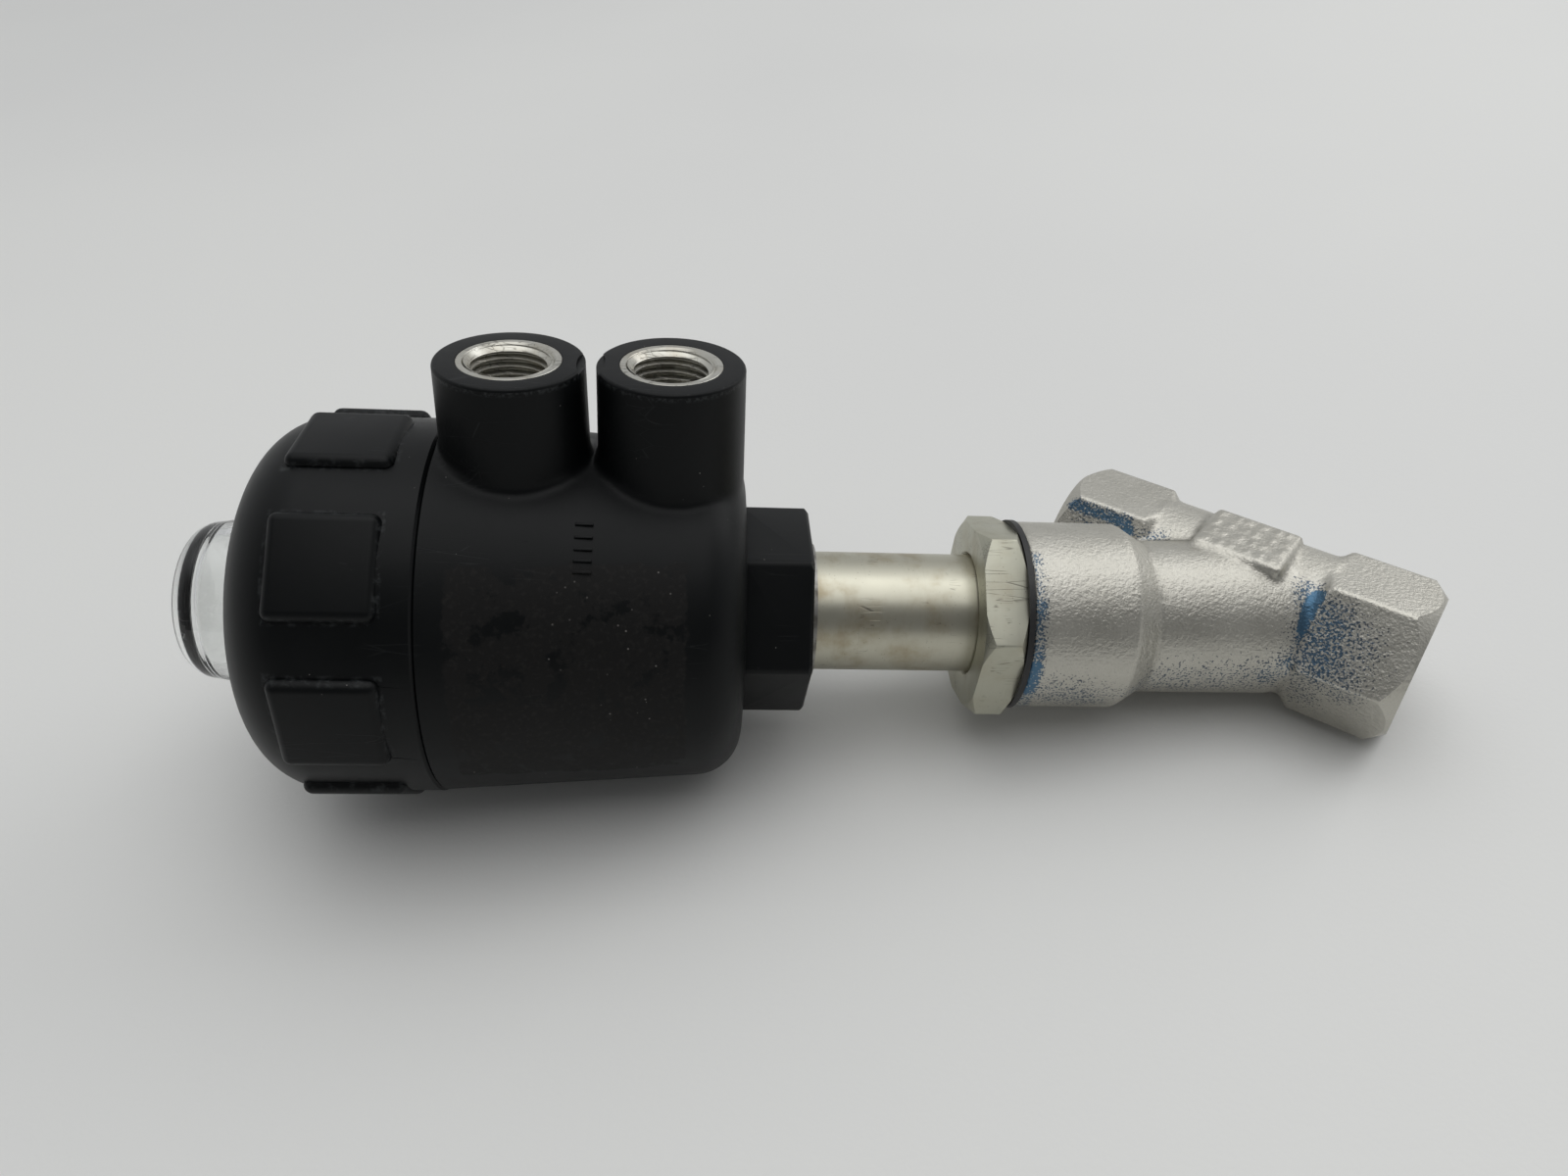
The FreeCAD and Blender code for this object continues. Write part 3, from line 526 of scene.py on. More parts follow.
def shaded(piece: bpy.types.Object, angle: float = 30.0) -> bpy.types.Object:
    """Shades a piece smooth, with edges above an angle left crisp.

    Args:
        piece: the piece.
        angle: the angle in degrees.

    Returns:
        The piece.
    """
    pick(piece)
    bpy.ops.object.shade_smooth_by_angle(angle=math.radians(angle))
    return piece


def copied(piece: bpy.types.Object, name: str, shift: tuple) -> bpy.types.Object:
    """Copies a piece, with a mesh of its own, to another place.

    Args:
        piece: the piece.
        name: the copy's name.
        shift: how far the copy is shifted.

    Returns:
        The copy.
    """
    pick(piece)
    bpy.ops.object.duplicate(linked=False)
    copy = named(name)
    return placed(copy, shift=shift)


def thread(name: str, minor: float, major: float, pitch: float, length: float) -> bpy.types.Object:
    """An internal thread as a sleeve along X, from x = 0 inwards to -length, with a turned mouth.

    Args:
        name: the piece's name.
        minor: radius at the crests.
        major: radius at the roots.
        pitch: from crest to crest.
        length: the thread's length.

    Returns:
        The sleeve.
    """
    flat = 0.04 * (major - minor)
    tooth = [
        (0.0, major),
        (0.08 * pitch, major - flat),
        (0.42 * pitch, minor + flat),
        (0.50 * pitch, minor),
        (0.58 * pitch, minor + flat),
        (0.92 * pitch, major - flat),
        (pitch, major),
    ]
    start = -length - 2 * pitch
    piece = drawn(name, [(start + x, r) for x, r in tooth], closed=False)
    bpy.ops.object.mode_set(mode="OBJECT")
    step = piece.modifiers.new("screw", "SCREW")
    step.axis = "X"
    step.screw_offset = pitch
    step.iterations = math.ceil(length / pitch) + 3
    step.steps = 72
    step.render_steps = 72
    bpy.ops.object.modifier_apply(modifier=step.name)
    bpy.ops.object.mode_set(mode="EDIT")
    bpy.ops.mesh.select_all(action="SELECT")
    bpy.ops.mesh.remove_doubles(threshold=1e-6)
    bpy.ops.mesh.normals_make_consistent(inside=False)
    bpy.ops.object.mode_set(mode="OBJECT")
    points, normals, _ = skin(piece)
    if (points[:, 1:] * normals[:, 1:]).sum() > 0:
        bpy.ops.object.mode_set(mode="EDIT")
        bpy.ops.mesh.select_all(action="SELECT")
        bpy.ops.mesh.flip_normals()
        bpy.ops.object.mode_set(mode="OBJECT")
    step = piece.modifiers.new("wall", "SOLIDIFY")
    step.thickness = 0.3 * MM
    step.offset = -1
    bpy.ops.object.modifier_apply(modifier=step.name)
    far = length + 4 * pitch
    mouth = bar("mouth", -1.2 * (major - minor), pitch, minor, minor + 1.2 * (major - minor) + pitch, sides=96)
    for tool in (bar("front", 0, 4 * pitch, 2 * major), bar("back", -far, -length, 2 * major), mouth):
        worked(piece, tool, Work.CUT)
    return piece


def riding(
    piece: bpy.types.Object, group: Group, look: bpy.types.Material, nodes: tuple = ()
) -> bpy.types.Object:
    """Dresses a finished piece and hangs it on its body.

    Args:
        piece: the piece.
        group: the body that it moves with.
        look: its material.
        nodes: the frame's nodes that it stands for.

    Returns:
        The piece.
    """
    clear_selection()
    piece.data.materials.clear()
    piece.data.materials.append(look)
    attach(piece, group.value)
    if nodes:
        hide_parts(*nodes)
    LOG.info("%s: %d faces on %s", piece.name, len(piece.data.polygons), group.value)
    return piece


# ---------------------------------------------------------------- finishes
class Sheet:
    """A material's node sheet, with short calls for what the finishes share."""

    def __init__(self, name: str) -> None:
        """Starts a material with a principled shader.

        Args:
            name: the material's name.
        """
        self.material = bpy.data.materials.new(name)
        self.material.use_nodes = True
        self.nodes = self.material.node_tree.nodes
        self.links = self.material.node_tree.links
        self.shader = next(n for n in self.nodes if n.type == "BSDF_PRINCIPLED")
        self.place = self.node("ShaderNodeTexCoord").outputs["Object"]

    def node(self, kind: str, **settings: object) -> bpy.types.Node:
        """Adds a node.

        Args:
            kind: the node's type.
            settings: its properties.

        Returns:
            The node.
        """
        node = self.nodes.new(kind)
        for name, value in settings.items():
            setattr(node, name, value)
        return node

    def feed(self, socket: bpy.types.NodeSocket, value: object) -> None:
        """Links an output to an input, or sets the input's own value.

        Args:
            socket: the input.
            value: an output socket, a number or a colour.
        """
        if isinstance(value, bpy.types.NodeSocket):
            self.links.new(value, socket)
        else:
            socket.default_value = value

    def stretched(self, factors: tuple, turn: tuple = (0.0, 0.0, 0.0)) -> bpy.types.NodeSocket:
        """The place with each axis scaled.

        Args:
            factors: the scale of each axis.
            turn: a turn about each axis, in radians.

        Returns:
            The scaled place.
        """
        node = self.node("ShaderNodeMapping")
        node.inputs["Scale"].default_value = factors
        node.inputs["Rotation"].default_value = turn
        self.feed(node.inputs["Vector"], self.place)
        return node.outputs["Vector"]

    def noise(
        self, size: float, detail: float = 3.0, rough: float = 0.5, at: bpy.types.NodeSocket | None = None
    ) -> bpy.types.NodeSocket:
        """Cloudy noise.

        Args:
            size: the size of its lumps.
            detail: how many finer layers it has.
            rough: how strong they are.
            at: the place that it reads.

        Returns:
            A value about 0.5.
        """
        node = self.node("ShaderNodeTexNoise")
        node.inputs["Scale"].default_value = 1 / size
        node.inputs["Detail"].default_value = detail
        node.inputs["Roughness"].default_value = rough
        self.feed(node.inputs["Vector"], at or self.place)
        return node.outputs["Fac"]

    def cells(self, size: float, feature: str = "F1", at: bpy.types.NodeSocket | None = None) -> bpy.types.NodeSocket:
        """Distance to the nearest of many scattered points, or to the cells' borders.

        Args:
            size: the size of a cell.
            feature: which distance.
            at: the place that it reads.

        Returns:
            The distance in cells.
        """
        node = self.node("ShaderNodeTexVoronoi", feature=feature)
        node.inputs["Scale"].default_value = 1 / size
        self.feed(node.inputs["Vector"], at or self.place)
        return node.outputs["Distance"]

    def calc(self, kind: str, a: object, b: object = 0.0, c: object = 0.0) -> bpy.types.NodeSocket:
        """Calculates with values.

        Args:
            kind: the operation.
            a: the first value.
            b: the second value.
            c: the third value.

        Returns:
            The result.
        """
        node = self.node("ShaderNodeMath", operation=kind)
        for socket, value in zip(node.inputs, (a, b, c)):
            self.feed(socket, value)
        return node.outputs[0]

    def rise(self, value: bpy.types.NodeSocket, low: float, high: float, top: float = 1.0) -> bpy.types.NodeSocket:
        """A soft step from 0 at low to top at high; it falls where high is below low.

        Args:
            value: the value.
            low: where the step starts.
            high: where it ends.
            top: its height.

        Returns:
            The step.
        """
        node = self.node("ShaderNodeMapRange", interpolation_type="SMOOTHSTEP")
        self.feed(node.inputs["Value"], value)
        node.inputs["From Min"].default_value = min(low, high)
        node.inputs["From Max"].default_value = max(low, high)
        node.inputs["To Min"].default_value = 0.0 if high > low else top
        node.inputs["To Max"].default_value = top if high > low else 0.0
        return node.outputs["Result"]

    def mixed(self, share: bpy.types.NodeSocket, below: object, above: object) -> bpy.types.NodeSocket:
        """Mixes two colours.

        Args:
            share: how much of the second.
            below: the first colour.
            above: the second colour.

        Returns:
            The mixture.
        """
        node = self.node("ShaderNodeMix", data_type="RGBA")
        self.feed(node.inputs[0], share)
        self.feed(node.inputs[6], below)
        self.feed(node.inputs[7], above)
        return node.outputs[2]

    def relief(self, height: bpy.types.NodeSocket, depth: float, under: bpy.types.NodeSocket | None = None) -> bpy.types.NodeSocket:
        """Turns a height into a bumpy normal.

        Args:
            height: the height, from 0 to 1.
            depth: how deep it is.
            under: a coarser relief that it lies on.

        Returns:
            The normal.
        """
        node = self.node("ShaderNodeBump")
        node.inputs["Distance"].default_value = depth
        self.feed(node.inputs["Height"], height)
        if under is not None:
            self.feed(node.inputs["Normal"], under)
        return node.outputs["Normal"]

    def axes(self) -> tuple:
        """Splits the place into its three coordinates.

        Returns:
            The coordinates x, y and z.
        """
        node = self.node("ShaderNodeSeparateXYZ")
        self.feed(node.inputs[0], self.place)
        return node.outputs[0], node.outputs[1], node.outputs[2]

    def attribute(self, name: str) -> bpy.types.NodeSocket:
        """Reads a value stored on the mesh.

        Args:
            name: the attribute's name.

        Returns:
            The value.
        """
        return self.node("ShaderNodeAttribute", attribute_name=name).outputs["Fac"]

    def smear(self, start: Vector, end: Vector, radius: float, soft: float) -> bpy.types.NodeSocket:
        """A soft stroke of influence from one point to another.

        Args:
            start: where it starts.
            end: where it ends.
            radius: how far from the stroke it is half gone.
            soft: how far it fades over.

        Returns:
            1 inside and 0 outside.
        """
        run = end - start
        away = self.node("ShaderNodeVectorMath", operation="SUBTRACT")
        self.feed(away.inputs[0], self.place)
        away.inputs[1].default_value = start
        along = self.node("ShaderNodeVectorMath", operation="DOT_PRODUCT")
        self.feed(along.inputs[0], away.outputs["Vector"])
        along.inputs[1].default_value = run / max(run.length_squared, 1e-12)
        nearest = self.node("ShaderNodeVectorMath", operation="SCALE")
        nearest.inputs[0].default_value = run
        self.feed(nearest.inputs["Scale"], self.calc("MINIMUM", self.calc("MAXIMUM", along.outputs["Value"], 0.0), 1.0))
        gap = self.node("ShaderNodeVectorMath", operation="DISTANCE")
        self.feed(gap.inputs[0], away.outputs["Vector"])
        self.feed(gap.inputs[1], nearest.outputs["Vector"])
        return self.rise(gap.outputs["Value"], radius + soft / 2, radius - soft / 2)

    def scratches(self, length: float, width: float, turn: tuple, share: float) -> bpy.types.NodeSocket:
        """Fine scratches that run one way.

        Args:
            length: about how long they are.
            width: about how wide they are.
            turn: which way they run.
            share: how much of the surface has them, from 0 to 1.

        Returns:
            1 in a scratch.
        """
        at = self.stretched((0.08, 1.0, 1.0), turn)
        line = self.cells(length / 6, "DISTANCE_TO_EDGE", at)
        where = self.rise(self.noise(length, 2.0), 0.68 - share / 2, 0.74 - share / 2)
        return self.calc("MULTIPLY", self.rise(line, 6 * width / length, 0.0), where)

    def specks(self, size: float, spacing: float, share: float) -> bpy.types.NodeSocket:
        """Scattered specks of different sizes.

        Args:
            size: the radius of a large speck.
            spacing: the distance between them.
            share: how much of the surface has them.

        Returns:
            1 in a speck.
        """
        where = self.rise(self.noise(6 * spacing, 2.0), 0.62 - share / 3, 0.72 - share / 3)
        return self.calc("MULTIPLY", self.rise(self.cells(spacing), size / spacing, 0.4 * size / spacing), where)

    def finish(self, colour: object, rough: object, normal: bpy.types.NodeSocket | None, metal: float = 0.0) -> bpy.types.Material:
        """Feeds the shader.

        Args:
            colour: the base colour.
            rough: the roughness.
            normal: the relief.
            metal: 1 for bare metal.

        Returns:
            The material.
        """
        self.feed(self.shader.inputs["Base Color"], colour)
        self.feed(self.shader.inputs["Roughness"], rough)
        self.shader.inputs["Metallic"].default_value = metal
        if normal is not None:
            self.feed(self.shader.inputs["Normal"], normal)
        return self.material


@dataclass(frozen=True)
class BlastedCasting:
    """Stainless casting, blasted with glass beads, with rests of blue marking dye and painted shade in its hollow
    corners.
    """

    name: str = "blasted_stainless"
    colour: tuple = (0.520, 0.505, 0.455, 1)
    shade: tuple = (0.480, 0.465, 0.415, 1)
    dye: tuple = (0.018, 0.110, 0.215, 1)
    speck: tuple = (0.028, 0.046, 0.080, 1)
    # dark of the blast pits, and the painted shade put into hollow corners
    grime_and_corner_shade: tuple = (0.075, 0.068, 0.055, 1)
    grain: float = 0.46 * MM
    dye_spots: tuple = ()

    def material(self) -> bpy.types.Material:
        """Builds the finish.

        Returns:
            The material.
        """
        sheet = Sheet(self.name)
        cloud = sheet.noise(9 * MM, 4.0)
        pits = sheet.noise(self.grain, 2.0, 0.6)
        lumps = sheet.noise(0.9 * MM, 3.0)
        colour = sheet.mixed(sheet.rise(cloud, 0.3, 0.7), self.shade, self.colour)
        colour = sheet.mixed(sheet.rise(pits, 0.64, 0.78, 0.4), colour, self.grime_and_corner_shade)
        # painted shade: the hollow corners are darkened, broken up by noise
        dirt = sheet.calc("MULTIPLY", sheet.attribute("grime_and_corner_shade"), sheet.rise(sheet.noise(1.1 * MM, 4.0), 0.35, 0.6))
        colour = sheet.mixed(sheet.calc("MULTIPLY", dirt, 0.55), colour, self.grime_and_corner_shade)
        share, depth = self.dyed(sheet)
        colour = sheet.mixed(share, colour, sheet.mixed(sheet.rise(depth, 0.35, 0.95), self.speck, self.dye))
        rough = sheet.calc("MULTIPLY_ADD", cloud, 0.14, 0.34)
        normal = sheet.relief(lumps, 0.13 * MM)
        normal = sheet.relief(pits, 0.11 * MM, normal)
        return sheet.finish(colour, rough, normal, metal=1.0)

    def dyed(self, sheet: Sheet) -> tuple:
        """Where the dye is left: a stain at the spots' middles and specks round them.

        Args:
            sheet: the node sheet.

        Returns:
            The dye's share and how thick it lies.
        """
        grain = sheet.noise(0.40 * MM, 2.0, 0.55)
        total = None
        for start, end, radius, strength in self.dye_spots:
            spot = sheet.calc("MULTIPLY", sheet.smear(start, end, radius, 1.6 * radius), strength)
            total = spot if total is None else sheet.calc("MAXIMUM", total, spot)
        # the nearer to a spot's middle, the lower the grain that still holds dye
        level = sheet.calc("MULTIPLY_ADD", total, -0.44, 0.755)
        over = sheet.calc("SUBTRACT", grain, level)
        return sheet.rise(over, -0.03, 0.10, 0.86), total


@dataclass(frozen=True)
class TurnedSteel:
    """Turned or ground stainless steel, with tool marks, stains and straw-coloured heat tint."""

    name: str
    colour: tuple = (0.62, 0.60, 0.54, 1)
    stain: tuple = (0.33, 0.27, 0.17, 1)
    dark: tuple = (0.10, 0.09, 0.075, 1)
    rough: float = 0.26
    marks: float = 0.2      # share of the surface with dark scratches
    tint: float = 0.5
    lay: float = 0.02 * MM  # depth of the tool marks

    def material(self) -> bpy.types.Material:
        """Builds the finish.

        Returns:
            The material.
        """
        sheet = Sheet(self.name)
        rings = sheet.noise(0.5 * MM, 4.0, 0.7, sheet.stretched((1.0, 0.03, 0.03)))
        cloud = sheet.noise(7 * MM, 4.0, 0.6)
        colour = sheet.mixed(sheet.rise(cloud, 0.42, 0.75, self.tint), self.colour, self.stain)
        colour = sheet.mixed(sheet.rise(rings, 0.55, 0.85, 0.16), colour, self.dark)
        scratch = sheet.scratches(9 * MM, 0.05 * MM, (0.0, 0.3, 1.2), self.marks)
        nick = sheet.scratches(4 * MM, 0.04 * MM, (0.5, 0.2, 0.3), self.marks)
        colour = sheet.mixed(sheet.calc("MULTIPLY", sheet.calc("MAXIMUM", scratch, nick), 0.6), colour, self.dark)
        spots = sheet.specks(0.13 * MM, 0.9 * MM, 0.6)
        colour = sheet.mixed(sheet.calc("MULTIPLY", spots, 0.45), colour, self.dark)
        rough = sheet.calc("MULTIPLY_ADD", cloud, 0.22, self.rough - 0.08)
        normal = sheet.relief(rings, self.lay)
        normal = sheet.relief(sheet.calc("SUBTRACT", 1.0, scratch), 0.02 * MM, normal)
        return sheet.finish(colour, rough, normal, metal=1.0)


@dataclass(frozen=True)
class PlainMetal:
    """Bright metal of small hidden parts, with soft stains."""

    name: str
    colour: tuple
    stain: tuple
    rough: float = 0.3

    def material(self) -> bpy.types.Material:
        """Builds the finish.

        Returns:
            The material.
        """
        sheet = Sheet(self.name)
        cloud = sheet.noise(2.5 * MM, 5.0, 0.6)
        fine = sheet.noise(0.2 * MM, 3.0)
        colour = sheet.mixed(sheet.rise(cloud, 0.45, 0.7), self.colour, self.stain)
        rough = sheet.calc("MULTIPLY_ADD", cloud, 0.3, self.rough - 0.1)
        return sheet.finish(colour, rough, sheet.relief(fine, 0.012 * MM), metal=1.0)


@dataclass(frozen=True)
class MouldedNylon:
    """Black glass-filled nylon: satin, with scratches, dust, lighter patches that are painted sheen, and grey edges
    that are partly scuffs and partly a painted edge highlight.
    """

    name: str
    colour: tuple = (0.0016, 0.0022, 0.0025, 1)
    # grey of scratches and scuffed edges; on the edges it is also a painted highlight
    scuff_and_edge_highlight: tuple = (0.034, 0.037, 0.038, 1)
    dust: tuple = (0.30, 0.29, 0.27, 1)
    rough: float = 0.44
    label: tuple = ()       # where a label was: ((x0, x1), (z0, z1)) on the side away from +Y
    pads: tuple = ()        # grip pads round the axis: (count, turn, half width, x0, x1)

    def material(self) -> bpy.types.Material:
        """Builds the finish.

        Returns:
            The material.
        """
        sheet = Sheet(self.name)
        cloud = sheet.noise(16 * MM, 4.0, 0.6)
        fine = sheet.noise(0.16 * MM, 2.0)
        flow = sheet.noise(2.4 * MM, 3.0)
        # lighter patches at random: painted sheen on the black
        colour = sheet.mixed(sheet.rise(cloud, 0.3, 0.8), self.colour, (0.0028, 0.0035, 0.0038, 1))
        rough = sheet.calc("MULTIPLY_ADD", cloud, 0.20, self.rough - 0.10)
        if self.label:
            colour, rough = self.labelled(sheet, colour, rough)
        # lighter convex edges: partly scuffs, partly a painted edge highlight
        wear_and_edge_highlight = sheet.calc("MULTIPLY", sheet.attribute("wear_and_edge_highlight"), sheet.rise(sheet.noise(0.7 * MM, 4.0, 0.7), 0.44, 0.62))
        if self.pads:
            wear_and_edge_highlight = sheet.calc("MAXIMUM", wear_and_edge_highlight, self.pad_edge_wear_and_highlight(sheet))
        colour = sheet.mixed(sheet.calc("MULTIPLY", wear_and_edge_highlight, 0.75), colour, self.scuff_and_edge_highlight)
        long = sheet.scratches(30 * MM, 0.04 * MM, (0.3, 0.2, 1.1), 0.16)
        short = sheet.scratches(11 * MM, 0.03 * MM, (0.9, 0.4, 0.2), 0.14)
        lines = sheet.calc("MAXIMUM", long, short)
        colour = sheet.mixed(sheet.calc("MULTIPLY", lines, 0.30), colour, self.scuff_and_edge_highlight)
        colour = sheet.mixed(sheet.specks(0.10 * MM, 2.6 * MM, 0.42), colour, self.dust)
        normal = sheet.relief(flow, 0.010 * MM)
        normal = sheet.relief(fine, 0.010 * MM, normal)
        normal = sheet.relief(sheet.calc("SUBTRACT", 1.0, lines), 0.012 * MM, normal)
        self.soften(sheet)
        return sheet.finish(colour, rough, normal)

    def soften(self, sheet: Sheet) -> None:
        """Sets the plastic's weak mirror reflection.

        Args:
            sheet: the node sheet.
        """
        sheet.shader.inputs["Specular IOR Level"].default_value = 0.17

    def labelled(self, sheet: Sheet, colour: bpy.types.NodeSocket, rough: bpy.types.NodeSocket) -> tuple:
        """The field of old glue that a label left, with torn rests at its borders.

        Args:
            sheet: the node sheet.
            colour: the colour under it.
            rough: the roughness under it.

        Returns:
            The new colour and roughness.
        """
        (x0, x1), (z0, z1) = self.label
        x, y, z = sheet.axes()
        torn = sheet.calc("MULTIPLY_ADD", sheet.noise(3.0 * MM, 4.0, 0.7), 3.0 * MM, -1.5 * MM)
        x, z = sheet.calc("ADD", x, torn), sheet.calc("ADD", z, torn)
        soft = 0.25 * MM
        field_x = sheet.calc("MULTIPLY", sheet.rise(x, x0 - soft, x0 + soft), sheet.rise(x, x1 + soft, x1 - soft))
        field_z = sheet.calc("MULTIPLY", sheet.rise(z, z0 - soft, z0 + soft), sheet.rise(z, z1 + soft, z1 - soft))
        side = sheet.rise(y, CROSSING.y, CROSSING.y - MM)
        inside = sheet.calc("MULTIPLY", sheet.calc("MULTIPLY", field_x, field_z), side)
        left = sheet.calc("MULTIPLY", inside, sheet.rise(sheet.noise(5 * MM, 5.0, 0.65), 0.40, 0.47))
        glue = sheet.mixed(sheet.rise(sheet.noise(0.8 * MM, 3.0), 0.5, 0.7), (0.0085, 0.0080, 0.0077, 1), (0.015, 0.0140, 0.0132, 1))
        colour = sheet.mixed(sheet.calc("MULTIPLY", left, 0.8), colour, glue)
        crumbs = sheet.calc("MULTIPLY", sheet.specks(0.20 * MM, 2.2 * MM, 0.45), inside)
        colour = sheet.mixed(sheet.calc("MULTIPLY", crumbs, 0.8), colour, (0.17, 0.16, 0.15, 1))
        rough = sheet.calc("ADD", rough, sheet.calc("MULTIPLY", left, 0.16))
        return colour, rough

    def pad_edge_wear_and_highlight(self, sheet: Sheet) -> bpy.types.NodeSocket:
        """Worn edges of the grip pads round the axis, painted lighter as scuffs and as an edge highlight.

        Args:
            sheet: the node sheet.

        Returns:
            The share of the wear and of the painted edge highlight.
        """
        count, turn, half, x0, x1 = self.pads
        x, y, z = sheet.axes()
        y = sheet.calc("SUBTRACT", y, CROSSING.y)
        # the pads stand at equal angles, so one pad's angle repeats all round
        angle = sheet.calc("ADD", sheet.calc("ARCTAN2", y, z), turn)
        part = 2 * math.pi / count
        angle = sheet.calc("SUBTRACT", sheet.calc("WRAP", angle, part / 2, -part / 2), 0.0)
        radius = sheet.calc("SQRT", sheet.calc("ADD", sheet.calc("MULTIPLY", y, y), sheet.calc("MULTIPLY", z, z)))
        across = sheet.calc("SUBTRACT", sheet.calc("ABSOLUTE", sheet.calc("MULTIPLY", radius, sheet.calc("SINE", angle))), half)
        middle, reach = (x0 + x1) / 2, (x1 - x0) / 2
        along = sheet.calc("SUBTRACT", sheet.calc("ABSOLUTE", sheet.calc("SUBTRACT", x, middle)), reach)
        edge = sheet.calc("ABSOLUTE", sheet.calc("MAXIMUM", across, along))
        band = sheet.rise(edge, 0.75 * MM, 0.2 * MM)
        return sheet.calc("MULTIPLY", band, sheet.rise(sheet.noise(1.6 * MM, 5.0, 0.7), 0.47, 0.66))


@dataclass(frozen=True)
class SoftPlastic:
    """Smooth plastic or rubber of one colour, with a little dirt."""

    name: str
    colour: tuple
    dirt: tuple
    rough: float = 0.45

    def material(self) -> bpy.types.Material:
        """Builds the finish.

        Returns:
            The material.
        """
        sheet = Sheet(self.name)
        cloud = sheet.noise(3 * MM, 5.0, 0.6)
        fine = sheet.noise(0.25 * MM, 2.0)
        colour = sheet.mixed(sheet.rise(cloud, 0.45, 0.75), self.colour, self.dirt)
        rough = sheet.calc("MULTIPLY_ADD", cloud, 0.25, self.rough - 0.12)
        return sheet.finish(colour, rough, sheet.relief(fine, 0.010 * MM))


@dataclass(frozen=True)
class ClearCap:
    """Clear polycarbonate with hairline scratches."""

    name: str = "clear_polycarbonate_cap"
    index: float = 1.58

    def material(self) -> bpy.types.Material:
        """Builds the finish.

        Returns:
            The material.
        """
        sheet = Sheet(self.name)
        cloud = sheet.noise(4 * MM, 4.0)
        hair = sheet.scratches(7 * MM, 0.03 * MM, (0.4, 0.9, 0.2), 0.5)
        rough = sheet.calc("ADD", sheet.rise(cloud, 0.4, 0.9, 0.10), sheet.calc("MULTIPLY_ADD", hair, 0.22, 0.02))
        sheet.shader.inputs["Transmission Weight"].default_value = 1.0
        sheet.shader.inputs["IOR"].default_value = self.index
        colour = sheet.mixed(sheet.rise(cloud, 0.3, 0.8), (0.965, 0.975, 0.970, 1), (0.94, 0.95, 0.94, 1))
        return sheet.finish(colour, rough, sheet.relief(cloud, 0.02 * MM))


